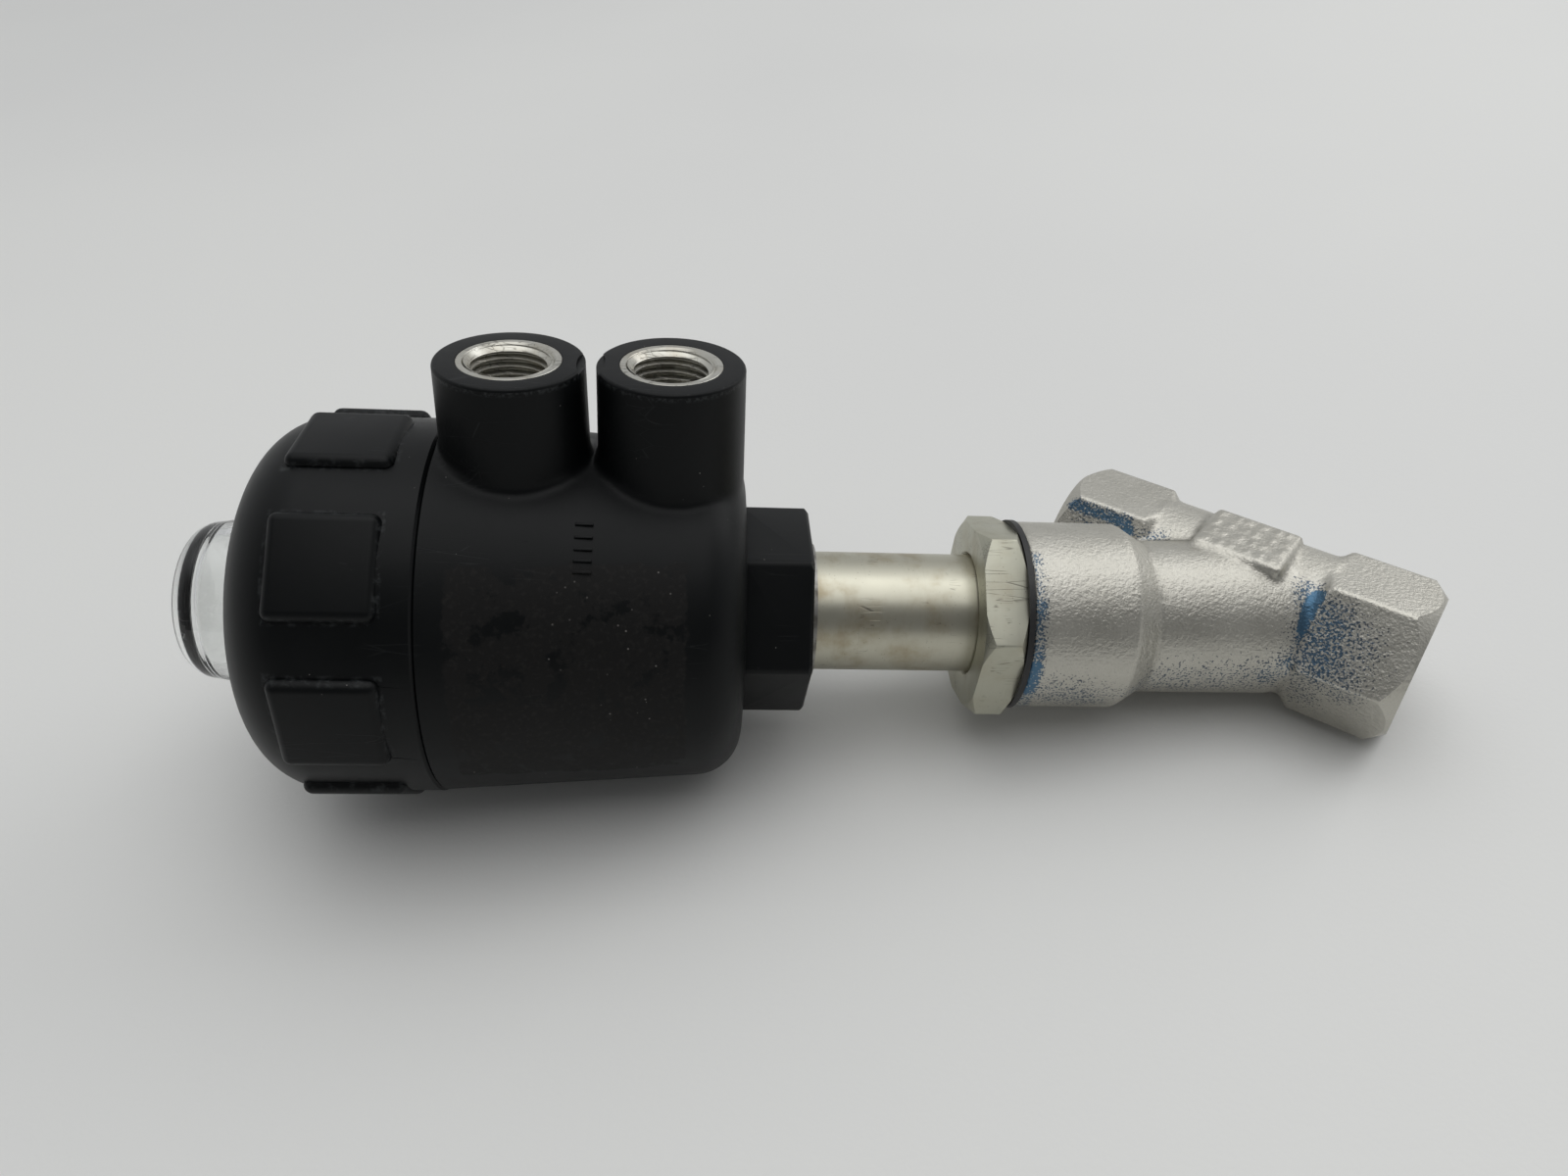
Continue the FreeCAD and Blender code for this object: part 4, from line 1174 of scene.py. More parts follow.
# ---------------------------------------------------------------- body
@dataclass
class ValveBody:
    """The angle body: a casting with machined ports, chamber and bonnet seat.

    It is made along its flow axis, with the outlet face at x = 0, and turned into place at the end.
    """

    flats: float = 27.0 * MM
    outlet_hex: float = 18.2 * MM
    inlet_hex: float = 17.5 * MM
    tube_r: float = 13.75 * MM
    bore_r: float = 7.5 * MM
    port_minor_r: float = 9.3155 * MM
    port_major_r: float = 10.4775 * MM
    port_pitch: float = 1.814 * MM
    port_depth: float = 14.0 * MM
    neck_top: float = -53.3 * MM
    neck_r: float = 16.8 * MM
    neck_chamfer: float = 0.5 * MM
    neck_end: float = -35.0 * MM
    throat_r: float = 13.9 * MM
    throat_start: float = -30.3 * MM
    throat_end: float = -6.0 * MM
    throat_round: float = 8.0 * MM
    bonnet_r: float = 13.0 * MM
    bonnet_floor: float = -41.0 * MM
    chamber_r: float = 10.5 * MM
    orifice_r: float = 6.5 * MM
    seat: float = -8.5 * MM
    seat_height: float = 1.5 * MM
    web: float = 3.0 * MM
    pad_start: float = -18.8 * MM
    pad_length: float = 16.2 * MM
    pad_sides: tuple = (-11.0 * MM, 4.4 * MM)
    pad_rise: float = 1.1 * MM
    grain: float = 0.40 * MM
    allowance: float = 0.8 * MM
    length: float = field(init=False)

    def __post_init__(self) -> None:
        """Works out the face-to-face length."""
        self.length = OUTLET_LENGTH + INLET_LENGTH

    def stem_placed(self, piece: bpy.types.Object) -> bpy.types.Object:
        """Turns a piece drawn along the stem axis into the flow frame."""
        return placed(piece, turn=(0, 0, -FLOW_ANGLE), shift=(-OUTLET_LENGTH, 0, 0))

    def row_placed(self, piece: bpy.types.Object) -> bpy.types.Object:
        """Turns a piece drawn along the flow axis into the row frame."""
        return placed(piece, turn=(0, 0, FLOW_ANGLE))

    def hexagon(self, x0: float, x1: float, soft_at_start: bool) -> bpy.types.Object:
        """A cast port hexagon with its inner end tapered off.

        Args:
            x0: where it starts.
            x1: where it ends.
            soft_at_start: whether the tapered end is the start.

        Returns:
            The hexagon.
        """
        corner = self.flats / 2 / math.cos(math.radians(30))
        long, deep = 1.4 * MM, 1.6 * MM
        ends = ((x0, corner - deep), (x0 + long, corner)) if soft_at_start else ((x0, corner),)
        ends += ((x1, corner),) if soft_at_start else ((x1 - long, corner), (x1, corner - deep))
        envelope = turned("envelope", [(x0, 0), *ends, (x1, 0)], closed=False)
        return worked(bar("hexagon", x0, x1, corner, sides=6), envelope, Work.KEEP)

    def blank(self) -> bpy.types.Object:
        """The casting before it is machined.

        Returns:
            The casting.
        """
        over = self.allowance
        inlet_end, outlet_end = self.inlet_hex - 0.7 * MM - self.length, 0.7 * MM - self.outlet_hex
        cast = bar("valve_body_casting", inlet_end, outlet_end, self.tube_r, sides=160)
        worked(cast, self.hexagon(-self.outlet_hex, over, True), Work.JOIN)
        worked(cast, self.hexagon(-self.length - over, -self.length + self.inlet_hex, False), Work.JOIN)
        end = self.throat_end
        centre = self.throat_r - self.throat_round
        neck = turned(
            "neck",
            [
                (self.neck_top - over, 0),
                (self.neck_top - over, self.neck_r - self.neck_chamfer - over),
                (self.neck_top + self.neck_chamfer, self.neck_r),
                (self.neck_end, self.neck_r),
                (self.throat_start, self.throat_r),
                *arc(end, centre, self.throat_round, 90, 0),
                (end + self.throat_round, 0),
            ],
            closed=False,
        )
        worked(cast, self.stem_placed(neck), Work.JOIN)
        start = self.pad_start - OUTLET_LENGTH
        top = self.tube_r + self.pad_rise
        low, high = (start, self.pad_sides[0], 0.4 * self.tube_r), (start + self.pad_length, self.pad_sides[1], top)
        pad = eased(block("pad", low, high), 0.8 * MM, 2)
        worked(cast, pad, Work.JOIN)
        for mark in self.pad_marks(start, top):
            worked(cast, mark, Work.JOIN)
        recast(cast, self.grain)
        return filleted(cast, 26, 250.0, self.on_neck)

    def on_neck(self, points: np.ndarray) -> np.ndarray:
        """Tells which points lie on the neck and its cone.

        Args:
            points: points in the flow frame.

        Returns:
            A mask.
        """
        stem = (points[:, 0] + OUTLET_LENGTH) * math.cos(FLOW_ANGLE) - points[:, 1] * math.sin(FLOW_ANGLE)
        return stem < self.throat_start + 2 * MM

    def pad_marks(self, start: float, top: float) -> list:
        """Plain raised bars on the pad, in three rows, where a maker casts its data.

        Args:
            start: where the pad starts.
            top: the pad's height.

        Returns:
            The bars.
        """
        bars = []
        wide, high = 0.6 * MM, 0.24 * MM
        for row in range(4):
            y = self.pad_sides[0] + (2.0 + 3.7 * row) * MM
            for k in range(6):
                x = start + (1.9 + 2.45 * k + 0.45 * math.sin(2.3 * k + 1.9 * row)) * MM
                long = (1.0 + 0.65 * ((2 * k + row) % 3)) * MM
                low = (x - wide / 2, y - long / 2, top - MM)
                bars.append(block("mark", low, (x + wide / 2, y + long / 2, top + high)))
        return bars

    def port_cutters(self, face: float, inwards: float) -> list:
        """Tools that face, chamfer and bore one port.

        Args:
            face: where its face is.
            inwards: -1 where the bore runs towards -X, and 1 towards +X.

        Returns:
            The tools.
        """
        corner = self.flats / 2 / math.cos(math.radians(30))
        long, deep, past = 3.2 * MM, 2.6 * MM, 3 * MM
        slope = deep / long
        chamfer = [
            (face + inwards * long, corner),
            (face - inwards * past, corner - deep - slope * past),
            (face - inwards * past, corner + past),
            (face + inwards * long, corner + past),
        ]
        bore_r = self.port_major_r + 0.02 * MM
        mouth = 0.5 * MM
        bore = [
            (face - inwards * past, 0),
            (face - inwards * past, bore_r + mouth + past),
            (face + inwards * mouth, bore_r),
            (face + inwards * (self.port_depth + MM), bore_r),
            (face + inwards * (self.port_depth + 2.5 * MM), self.bore_r),
            (face + inwards * (self.port_depth + 2.5 * MM), 0),
        ]
        away = face - inwards * past
        slab = bar("facing", min(face, away), max(face, away), 30 * MM, sides=32)
        return [turned("chamfer", chamfer), slab, turned("bore", bore, closed=False)]

    def chamber(self) -> bpy.types.Object:
        """The tool that bores the neck down to the seat and through its orifice.

        Returns:
            The tool.
        """
        floor = self.seat + self.seat_height
        lip = self.orifice_r + 1.3 * MM
        outline = [
            (self.neck_top, 0),
            (self.neck_top, self.bonnet_r),
            (self.bonnet_floor, self.bonnet_r),
            (self.bonnet_floor, self.chamber_r),
            (floor, self.chamber_r),
            (floor, lip + 0.6 * MM),
            (self.seat, lip),
            (self.seat, self.orifice_r),
            (floor + self.web + MM, self.orifice_r),
            (floor + self.web + MM, 0),
        ]
        past = outline[0][0] - 4 * MM
        return self.stem_placed(turned("chamber", [(past, 0), (past, self.bonnet_r), *outline[2:]], closed=False))

    def machined(self, cast: bpy.types.Object) -> bpy.types.Object:
        """Machines the casting.

        Args:
            cast: the casting.

        Returns:
            The finished body.
        """
        for tool in (*self.port_cutters(0.0, -1), *self.port_cutters(-self.length, 1)):
            worked(cast, tool, Work.CUT)
        across = (math.cos(-FLOW_ANGLE), math.sin(-FLOW_ANGLE), 0)
        middle = Vector((-OUTLET_LENGTH, 0, 0))
        floor = self.seat + self.seat_height
        inlet = bar("inlet", -self.length + 5 * MM, -OUTLET_LENGTH, self.bore_r)
        sliced(inlet, middle + self.seat * Vector(across), across)
        outlet = bar("outlet", -1.5 * OUTLET_LENGTH, -5 * MM, self.bore_r)
        sliced(outlet, middle + (floor + self.web) * Vector(across), tuple(-c for c in across))
        top = self.neck_top
        facing = self.stem_placed(bar("top", top - 5 * MM, top, 30 * MM, sides=32))
        for tool in (inlet, outlet, facing, self.chamber()):
            worked(cast, tool, Work.CUT)
        return cast

    def build(self) -> list:
        """Makes the body and its two threads in the row frame.

        Returns:
            The body, the outlet's thread and the inlet's thread.
        """
        cast = self.machined(self.blank())
        # the hollowness marks the corners that the finish darkens as painted shade
        bent = hollowness(cast, 4)
        marked(cast, "grime_and_corner_shade", bent / 500)
        self.row_placed(shaded(cast, 35))
        sleeve = thread("outlet_thread", self.port_minor_r, self.port_major_r, self.port_pitch, self.port_depth)
        other = copied(sleeve, "inlet_thread", (0, 0, 0))
        placed(other, turn=(0, 0, math.pi))
        placed(other, shift=(-self.length, 0, 0))
        return [cast, self.row_placed(shaded(sleeve)), self.row_placed(shaded(other))]

    def dye_spots(self) -> tuple:
        """Where marking dye is left: (start, end, radius, strength) of each smear.

        Returns:
            The smears.
        """
        near = Vector((FLOW.y, -FLOW.x, 0))
        smears = []
        # on the ports: places along the flow, to the near side and up
        for start, end, radius, strength in (
            ((3.9, 8.8, 11.6), (3.5, 12.3, 5.5), 1.5, 1.35),
            ((3.5, 12.3, 5.5), (3.4, 13.9, 0.0), 1.6, 1.00),
            ((2.4, 8.5, 12.0), (2.4, 13.8, -2.0), 3.2, 0.66),
            ((7.5, 11.0, 7.5), (8.5, 13.0, 2.0), 6.5, 0.72),
            ((12.5, 11.5, 6.0), (12.5, 13.0, 0.0), 6.5, 0.58),
            ((7.5, 13.5, -3.0), (7.5, 12.0, -8.0), 5.0, 0.50),
            ((-42.0, 8.8, 11.9), (-31.5, 8.8, 11.9), 1.7, 0.86),
            ((-30.6, 9.6, 11.0), (-29.8, 12.0, 5.5), 1.5, 1.00),
            ((-39.0, 10.6, 8.8), (-31.0, 10.6, 8.8), 2.6, 0.62),
            ((-27.5, 9.0, 10.0), (-25.0, 8.0, 10.5), 2.6, 0.60),
        ):
            ends = (CROSSING + (FLOW * a + near * b + Vector((0, 0, c))) * MM for a, b, c in (start, end))
            smears.append((*ends, radius * MM, strength))
        # on the neck, in its own frame: round its rim, then along its lower flank
        for start, end, radius, strength in (
            ((-52.3, -5.6, 15.3), (-52.3, -12.5, 10.5), 1.7, 0.66),
            ((-52.3, -12.5, 10.5), (-52.3, -16.1, 2.8), 1.8, 0.78),
            ((-52.4, -16.3, 0.5), (-52.4, -15.6, -5.0), 1.8, 1.05),
            ((-52.3, -15.0, -6.5), (-51.5, -11.0, -12.0), 2.2, 0.70),
            ((-48.5, -15.0, -6.0), (-41.5, -14.5, -7.5), 6.5, 0.56),
            ((-36.0, -13.5, -5.0), (-32.5, -13.0, -6.0), 3.4, 0.58),
            ((-29.0, -12.8, -5.5), (-10.0, -12.8, -4.0), 6.5, 0.53),
            ((-9.0, -12.8, -3.0), (-4.5, -12.8, 1.5), 4.5, 0.62),
        ):
            ends = (CROSSING + Vector(place) * MM for place in (start, end))
            smears.append((*ends, radius * MM, strength))
        return tuple(smears)

    def dress(self, pieces: list) -> None:
        """Finishes the body and hangs it on the frame.

        Args:
            pieces: the body and its threads.
        """
        look = BlastedCasting(dye_spots=self.dye_spots()).material()
        inside = TurnedSteel("machined_thread", rough=0.30, marks=0.3, tint=0.3).material()
        riding(pieces[0], Group.BODY, look, ("valve_body",))
        for sleeve in pieces[1:]:
            riding(sleeve, Group.BODY, inside)


@dataclass
class Bonnet:
    """The screwed nipple between the body and the tube."""

    flats: float = 32.0 * MM
    top: float = -61.5 * MM
    face: float = -54.3 * MM
    foot: float = -41.0 * MM
    turn: float = math.radians(-17.5)
    chamfer: tuple = (1.4 * MM, 1.9 * MM)
    spigot_r: float = 13.0 * MM
    tube_r: float = 10.6 * MM

    def build(self) -> bpy.types.Object:
        """Makes the nipple in the row frame.

        Returns:
            The nipple.
        """
        corner = self.flats / 2 / math.cos(math.radians(30))
        long, deep = self.chamfer
        outline = [
            (self.top, 0),
            (self.top, corner - deep),
            (self.top + long, corner),
            (self.face - long, corner),
            (self.face, corner - deep),
            (self.face, 0),
        ]
        nut = bar("bonnet_nipple_hexagon", self.top, self.face, corner + 0.1 * MM, sides=6)
        placed(nut, turn=(self.turn, 0, 0))
        worked(nut, turned("envelope", outline, steps=180, closed=False), Work.KEEP)
        eased(nut, 0.10 * MM, 2, 20)
        worked(nut, bar("spigot", self.face - MM, self.foot, self.spigot_r), Work.JOIN)
        mouth = [
            (self.top - MM, 0),
            (self.top - MM, self.tube_r + 1.6 * MM),
            (self.top + 0.55 * MM, self.tube_r + 0.05 * MM),
            (self.foot + MM, self.tube_r + 0.05 * MM),
            (self.foot + MM, 0),
        ]
        worked(nut, turned("mouth", mouth, closed=False), Work.CUT)
        return placed(shaded(nut, 25), shift=CROSSING)

    def dress(self, nut: bpy.types.Object) -> None:
        """Finishes the nipple and hangs it on the frame.

        Args:
            nut: the nipple.
        """
        look = TurnedSteel("ground_stainless", colour=(0.47, 0.465, 0.385, 1), rough=0.40, marks=0.24, tint=0.30, lay=0.006 * MM)
        riding(nut, Group.BODY, look.material(), ("bonnet_nipple",))


# ---------------------------------------------------------------- actuator
@dataclass
class Housing:
    """The actuator's moulded barrel, with two pilot bosses and a hexagon round the tube."""

    joint: float = -152.0 * MM
    joint_r: float = 32.1 * MM
    foot: float = -110.0 * MM
    foot_r: float = 29.4 * MM
    end: float = -102.0 * MM
    round_r: float = 8.0 * MM
    hex_end: float = -90.5 * MM
    hex_flats: float = 32.0 * MM
    spigot_r: float = 29.4 * MM
    spigot: float = 11.0 * MM
    bore_r: float = 25.0 * MM
    floor: float = -110.5 * MM
    pocket_r: float = 14.2 * MM
    pocket_floor: float = -106.2 * MM
    sleeve_r: float = 10.65 * MM
    ports: tuple = (-139.6 * MM, -114.6 * MM)
    boss_top: float = 46.1 * MM
    boss_top_r: float = 11.65 * MM
    boss_foot_r: float = 12.1 * MM
    insert_r: float = 8.15 * MM
    insert_length: float = 12.0 * MM
    air_hole_r: float = 3.0 * MM
    grain: float = 0.50 * MM

    def blank(self) -> bpy.types.Object:
        """The moulded shape with its bosses and their fillets.

        Returns:
            The moulding.
        """
        start = self.joint - self.spigot
        lean = (self.joint_r - self.foot_r) / (self.foot - self.joint)
        barrel = turned(
            "actuator_housing_moulding",
            [
                (start - MM, 0),
                (start - MM, self.joint_r + lean * (self.spigot + MM)),
                (self.joint, self.joint_r),
                *arc(self.end - self.round_r, self.foot_r - self.round_r, self.round_r, 90, 0, 10),
                (self.end, 0),
            ],
            steps=180,
            closed=False,
        )
        for x in self.ports:
            boss = post("boss", x, self.joint_r / 2, self.boss_top + MM, self.boss_foot_r, self.boss_top_r)
            worked(barrel, boss, Work.JOIN)
        recast(barrel, self.grain)
        return filleted(barrel, 14, 140.0)

    def boss_trim(self, x: float) -> bpy.types.Object:
        """The tool that flattens a boss and eases its rim.

        Args:
            x: the boss's place.

        Returns:
            The tool.
        """
        ease, past = 0.5 * MM, 3 * MM
        top, r = self.boss_top, self.boss_top_r
        outline = [(top, 0), *arc(top - ease, r - ease, ease, 0, 90, 4), (top - ease, r + past), (top + past, r + past), (top + past, 0)]
        return placed(placed(turned("trim", outline, closed=False), turn=(0, -math.pi / 2, 0)), shift=(x, 0, 0))

    def hexagon(self) -> bpy.types.Object:
        """The hexagon at the housing's end.

        Returns:
            The hexagon.
        """
        corner = self.hex_flats / 2 / math.cos(math.radians(30))
        nut = bar("hexagon", self.end - 2 * MM, self.hex_end, corner, sides=6)
        nut = eased(nut, 0.8 * MM, 3, 40)
        outline = [
            (self.end - 3 * MM, 0),
            (self.end - 3 * MM, corner + MM),
            (self.hex_end - 0.9 * MM, corner + MM),
            (self.hex_end - 0.9 * MM, corner),
            (self.hex_end, corner - 1.2 * MM),
            (self.hex_end, 0),
        ]
        return worked(nut, turned("envelope", outline, closed=False), Work.KEEP)

    def hollow(self) -> list:
        """Tools for the piston bore, the collar's pocket, the tube's sleeve and the two pilot ports.

        Returns:
            The tools.
        """
        start = self.joint - self.spigot
        tools = [
            bar("bore", start - 3 * MM, self.floor, self.bore_r),
            bar("pocket", self.floor - MM, self.pocket_floor, self.pocket_r),
            bar("sleeve", self.pocket_floor - MM, self.hex_end + MM, self.sleeve_r),
            bar("facing", start - 5 * MM, start, 45 * MM, sides=32),
        ]
        for x in self.ports:
            tools.append(self.boss_trim(x))
            foot = self.boss_top - self.insert_length
            tools.append(post("pocket", x, foot, self.boss_top + 2 * MM, self.insert_r))
            tools.append(post("hole", x, self.bore_r - 3 * MM, foot + MM, self.air_hole_r, sides=48))
        edge = 0.4 * MM
        spigot = [
            (start - 2 * MM, self.spigot_r),
            (self.joint, self.spigot_r),
            (self.joint, self.joint_r - edge),
            (self.joint + edge, self.joint_r + 0.1 * MM),
            (self.joint + edge, self.joint_r + 4 * MM),
            (start - 2 * MM, self.joint_r + 4 * MM),
        ]
        tools.append(turned("spigot", spigot, steps=180))
        return tools

    def dashes(self) -> bpy.types.Object:
        """Five thin raised dashes on the flank, under the gap between the bosses.

        Returns:
            The dashes as one piece.
        """
        dashes = []
        for k in range(5):
            height = (26.2 - 1.2 * k) * MM
            radius = 30.60 * MM
            angle = math.asin(height / radius)
            dash = block("dash", (-1.4 * MM, -0.3 * MM, -0.22 * MM), (1.4 * MM, 0.25 * MM, 0.22 * MM))
            eased(dash, 0.08 * MM, 2)
            placed(dash, turn=(-angle, 0, 0), shift=(-127.4 * MM, -radius * math.cos(angle), height))
            dashes.append(dash)
        clear_selection()
        for dash in dashes:
            dash.select_set(True)
        bpy.context.view_layer.objects.active = dashes[0]
        bpy.ops.object.join()
        return dashes[0]

    def build(self) -> list:
        """Makes the housing and its dashes in the row frame.

        Returns:
            The housing and the dashes.
        """
        shell = worked(self.blank(), self.hexagon(), Work.JOIN)
        for tool in self.hollow():
            worked(shell, tool, Work.CUT)
        bent = hollowness(shell, 2)
        # the convex edges are marked for scuffs and for a painted edge highlight
        marked(shell, "wear_and_edge_highlight", -(bent + 500) / 1500 * (mean_edge(shell) < 1.5 * self.grain))
        dashes = self.dashes()
        dashes.name = "housing_dashes"
        return [placed(shaded(piece, 32), shift=CROSSING) for piece in (shell, dashes)]

    def dress(self, pieces: list) -> None:
        """Finishes the housing and hangs it on the frame.

        Args:
            pieces: the housing and the dashes.
        """
        field_x = (CROSSING.x - 147.5 * MM, CROSSING.x - 111.5 * MM)
        look = MouldedNylon("housing_nylon", label=(field_x, (-14 * MM, 22 * MM))).material()
        riding(pieces[0], Group.ACTUATOR, look, ("actuator_housing",))
        riding(pieces[1], Group.ACTUATOR, look)


@dataclass
class PilotPort:
    """A threaded metal insert in a pilot boss."""

    x: float
    name: str
    top: float = 46.1 * MM
    length: float = 12.0 * MM
    outer_r: float = 8.15 * MM
    minor_r: float = 5.7225 * MM
    major_r: float = 6.5785 * MM
    pitch: float = 1.337 * MM
    depth: float = 11.0 * MM
    hole_r: float = 3.0 * MM

    def build(self) -> list:
        """Makes the insert and its thread in the row frame.

        Returns:
            The insert and the thread.
        """
        bore_r = self.major_r + 0.02 * MM
        mouth, edge = 0.55 * MM, 0.15 * MM
        foot = -self.length
        outline = [
            (foot, self.hole_r),
            (foot, self.outer_r - edge),
            (foot + edge, self.outer_r),
            (-8 * MM, self.outer_r),
            (-7.5 * MM, self.outer_r - 0.8 * MM),
            (-6.5 * MM, self.outer_r - 0.8 * MM),
            (-6 * MM, self.outer_r),
            (-edge, self.outer_r),
            (0, self.outer_r - edge),
            (0, bore_r + mouth),
            (-mouth, bore_r),
            (-self.depth, bore_r),
            (-self.depth, self.hole_r),
        ]
        sleeve = turned(self.name, outline)
        screw = thread(self.name + "_thread", self.minor_r, self.major_r, self.pitch, self.depth)
        place = CROSSING + Vector((self.x, 0, self.top))
        for piece in (sleeve, screw):
            placed(placed(shaded(piece), turn=(0, -math.pi / 2, 0)), shift=place)
        return [sleeve, screw]

    def dress(self, pieces: list, look: bpy.types.Material) -> None:
        """Finishes the insert and hangs it on the frame.

        Args:
            pieces: the insert and its thread.
            look: their finish.
        """
        riding(pieces[0], Group.ACTUATOR, look, (self.name.replace("_shell", ""),))
        riding(pieces[1], Group.ACTUATOR, look)


@dataclass
class Cover:
    """The screwed spring cover with its grip pads."""

    joint: float = -152.0 * MM
    spigot_end: float = -163.0 * MM
    radius: float = 32.3 * MM
    spigot_r: float = 29.4 * MM
    cavity_r: float = 26.0 * MM
    corner: float = 4.0 * MM
    end: float = -182.8 * MM
    shoulder: float = 12.4 * MM
    dome_r: float = 15.2 * MM
    dome_seat: float = -177.5 * MM
    spring_seat: float = -175.0 * MM
    guide_r: float = 6.35 * MM
    pads: int = 8
    turn: float = math.radians(1.0)
    pad_start: float = -173.6 * MM
    pad_length: float = 16.6 * MM
    pad_width: float = 16.6 * MM
    pad_top: float = 33.0 * MM
    pad_corner: float = 1.6 * MM
    pad_edge: float = 0.45 * MM

    def shell(self) -> bpy.types.Object:
        """The turned shape of the cover.

        Returns:
            The shell.
        """
        edge = 0.4 * MM
        centre = (self.end + self.shoulder, self.radius - self.shoulder)
        outline = [
            (self.joint, self.spigot_r),
            (self.joint, self.radius - edge),
            (self.joint - edge, self.radius),
            *arc(*centre, self.shoulder, 90, 180, 24),
            (self.end, self.dome_r + 0.7 * MM),
            (self.end + 0.3 * MM, self.dome_r),
            (self.dome_seat, self.dome_r),
            (self.dome_seat, self.guide_r),
            (self.spring_seat, self.guide_r),
            (self.spring_seat, self.cavity_r - self.corner),
            (self.spring_seat + self.corner, self.cavity_r),
            (self.spigot_end, self.cavity_r),
            (self.spigot_end, self.spigot_r),
        ]
        return turned("actuator_cover_moulding", outline, steps=192)

    def pad(self) -> bpy.types.Object:
        """One grip pad on top of the cover: a block with rounded corners and softly rounded edges.

        Returns:
            The pad.
        """
        half = self.pad_width / 2
        low = (self.pad_start, -half, self.spigot_r + 0.6 * MM)
        high = (self.pad_start + self.pad_length, half, self.pad_top)
        pad = block("pad", low, high)
        bpy.ops.object.mode_set(mode="EDIT")
        bpy.ops.mesh.select_all(action="DESELECT")
        bpy.ops.object.mode_set(mode="OBJECT")
        for edge in pad.data.edges:
            a, b = (pad.data.vertices[v].co for v in edge.vertices)
            edge.select = abs(a.z - b.z) > 0.5 * MM
        bpy.ops.object.mode_set(mode="EDIT")
        bpy.ops.mesh.bevel(offset=self.pad_corner, segments=5)
        bpy.ops.object.mode_set(mode="OBJECT")
        return eased(pad, self.pad_edge, 3, 60)

    def build(self) -> bpy.types.Object:
        """Makes the cover in the row frame.

        Returns:
            The cover.
        """
        cover = self.shell()
        first = self.pad()
        for k in range(self.pads):
            tool = copied(first, "pad_copy", (0, 0, 0))
            placed(tool, turn=(self.turn + 2 * math.pi * k / self.pads, 0, 0))
            worked(cover, tool, Work.JOIN)
        bpy.data.objects.remove(first)
        return placed(shaded(cover, 28), shift=CROSSING)

    def dress(self, cover: bpy.types.Object) -> None:
        """Finishes the cover and hangs it on the frame.

        Args:
            cover: the cover.
        """
        x0 = CROSSING.x + self.pad_start
        pads = (self.pads, self.turn, self.pad_width / 2, x0, x0 + self.pad_length)
        look = MouldedNylon("cover_nylon", rough=0.40, pads=pads).material()
        riding(cover, Group.ACTUATOR, look, ("actuator_cover",))


@dataclass
class Dome:
    """The clear cap over the position indicator."""

    foot: float = -179.3 * MM
    base: float = -182.8 * MM
    end: float = -196.0 * MM
    outer_r: float = 15.15 * MM
    front_r: float = 13.6 * MM
    wall: float = 1.9 * MM
    front_wall: float = 3.6 * MM
    rounding: float = 4.4 * MM

    def build(self) -> bpy.types.Object:
        """Makes the cap in the row frame.

        Returns:
            The cap.
        """
        r, inner = self.rounding, self.rounding - self.wall
        outline = [
            (self.end, 0),
            *arc(self.end + r, self.front_r - r, r, 180, 90, 12),
            (self.base, self.outer_r),
            (self.foot, self.outer_r),
            (self.foot, self.outer_r - self.wall),
            (self.base, self.outer_r - self.wall),
            *arc(self.end + self.front_wall + inner, self.front_r - r, inner, 90, 180, 12),
            (self.end + self.front_wall, 0),
        ]
        cap = turned("indicator_dome_cap", outline, steps=160, closed=False)
        return placed(shaded(cap, 40), shift=CROSSING)

    def dress(self, cap: bpy.types.Object) -> None:
        """Finishes the cap and hangs it on the frame.

        Args:
            cap: the cap.
        """
        riding(cap, Group.ACTUATOR, ClearCap().material(), ("indicator_dome",))


@dataclass
class ClosingSpring:
    """A round-wire compression spring between the piston and the cover."""

    node: str
    radius: float
    wire: float
    turns: int
    start: float = -175.0 * MM
    end: float = -128.0 * MM
    stroke: float = 9.0 * MM

    def build(self) -> bpy.types.Object:
        """Makes the spring in the row frame.

        Returns:
            The spring.
        """
        clear_selection()
        first = self.start + self.wire
        bpy.ops.mesh.primitive_circle_add(vertices=14, radius=self.wire, location=(first, self.radius, 0))
        wire = named(self.node + "_wire")
        step = wire.modifiers.new("screw", "SCREW")
        step.axis = "X"
        step.screw_offset = (self.end - self.wire - first) / self.turns
        step.iterations = self.turns
        step.steps = 44
        step.render_steps = 44
        bpy.ops.object.modifier_apply(modifier=step.name)
        bpy.ops.object.mode_set(mode="EDIT")
        bpy.ops.mesh.select_all(action="SELECT")
        bpy.ops.mesh.fill_holes(sides=0)
        bpy.ops.mesh.normals_make_consistent(inside=False)
        bpy.ops.object.mode_set(mode="OBJECT")
        return placed(shaded(wire, 50), shift=CROSSING)

    def dress(self, wire: bpy.types.Object, look: bpy.types.Material) -> None:
        """Finishes the spring and hangs it on the frame, with a mesh of its own.

        Args:
            wire: the spring.
            look: its finish.
        """
        riding(wire, Group.ACTUATOR, look, (self.node,))
        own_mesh(wire)


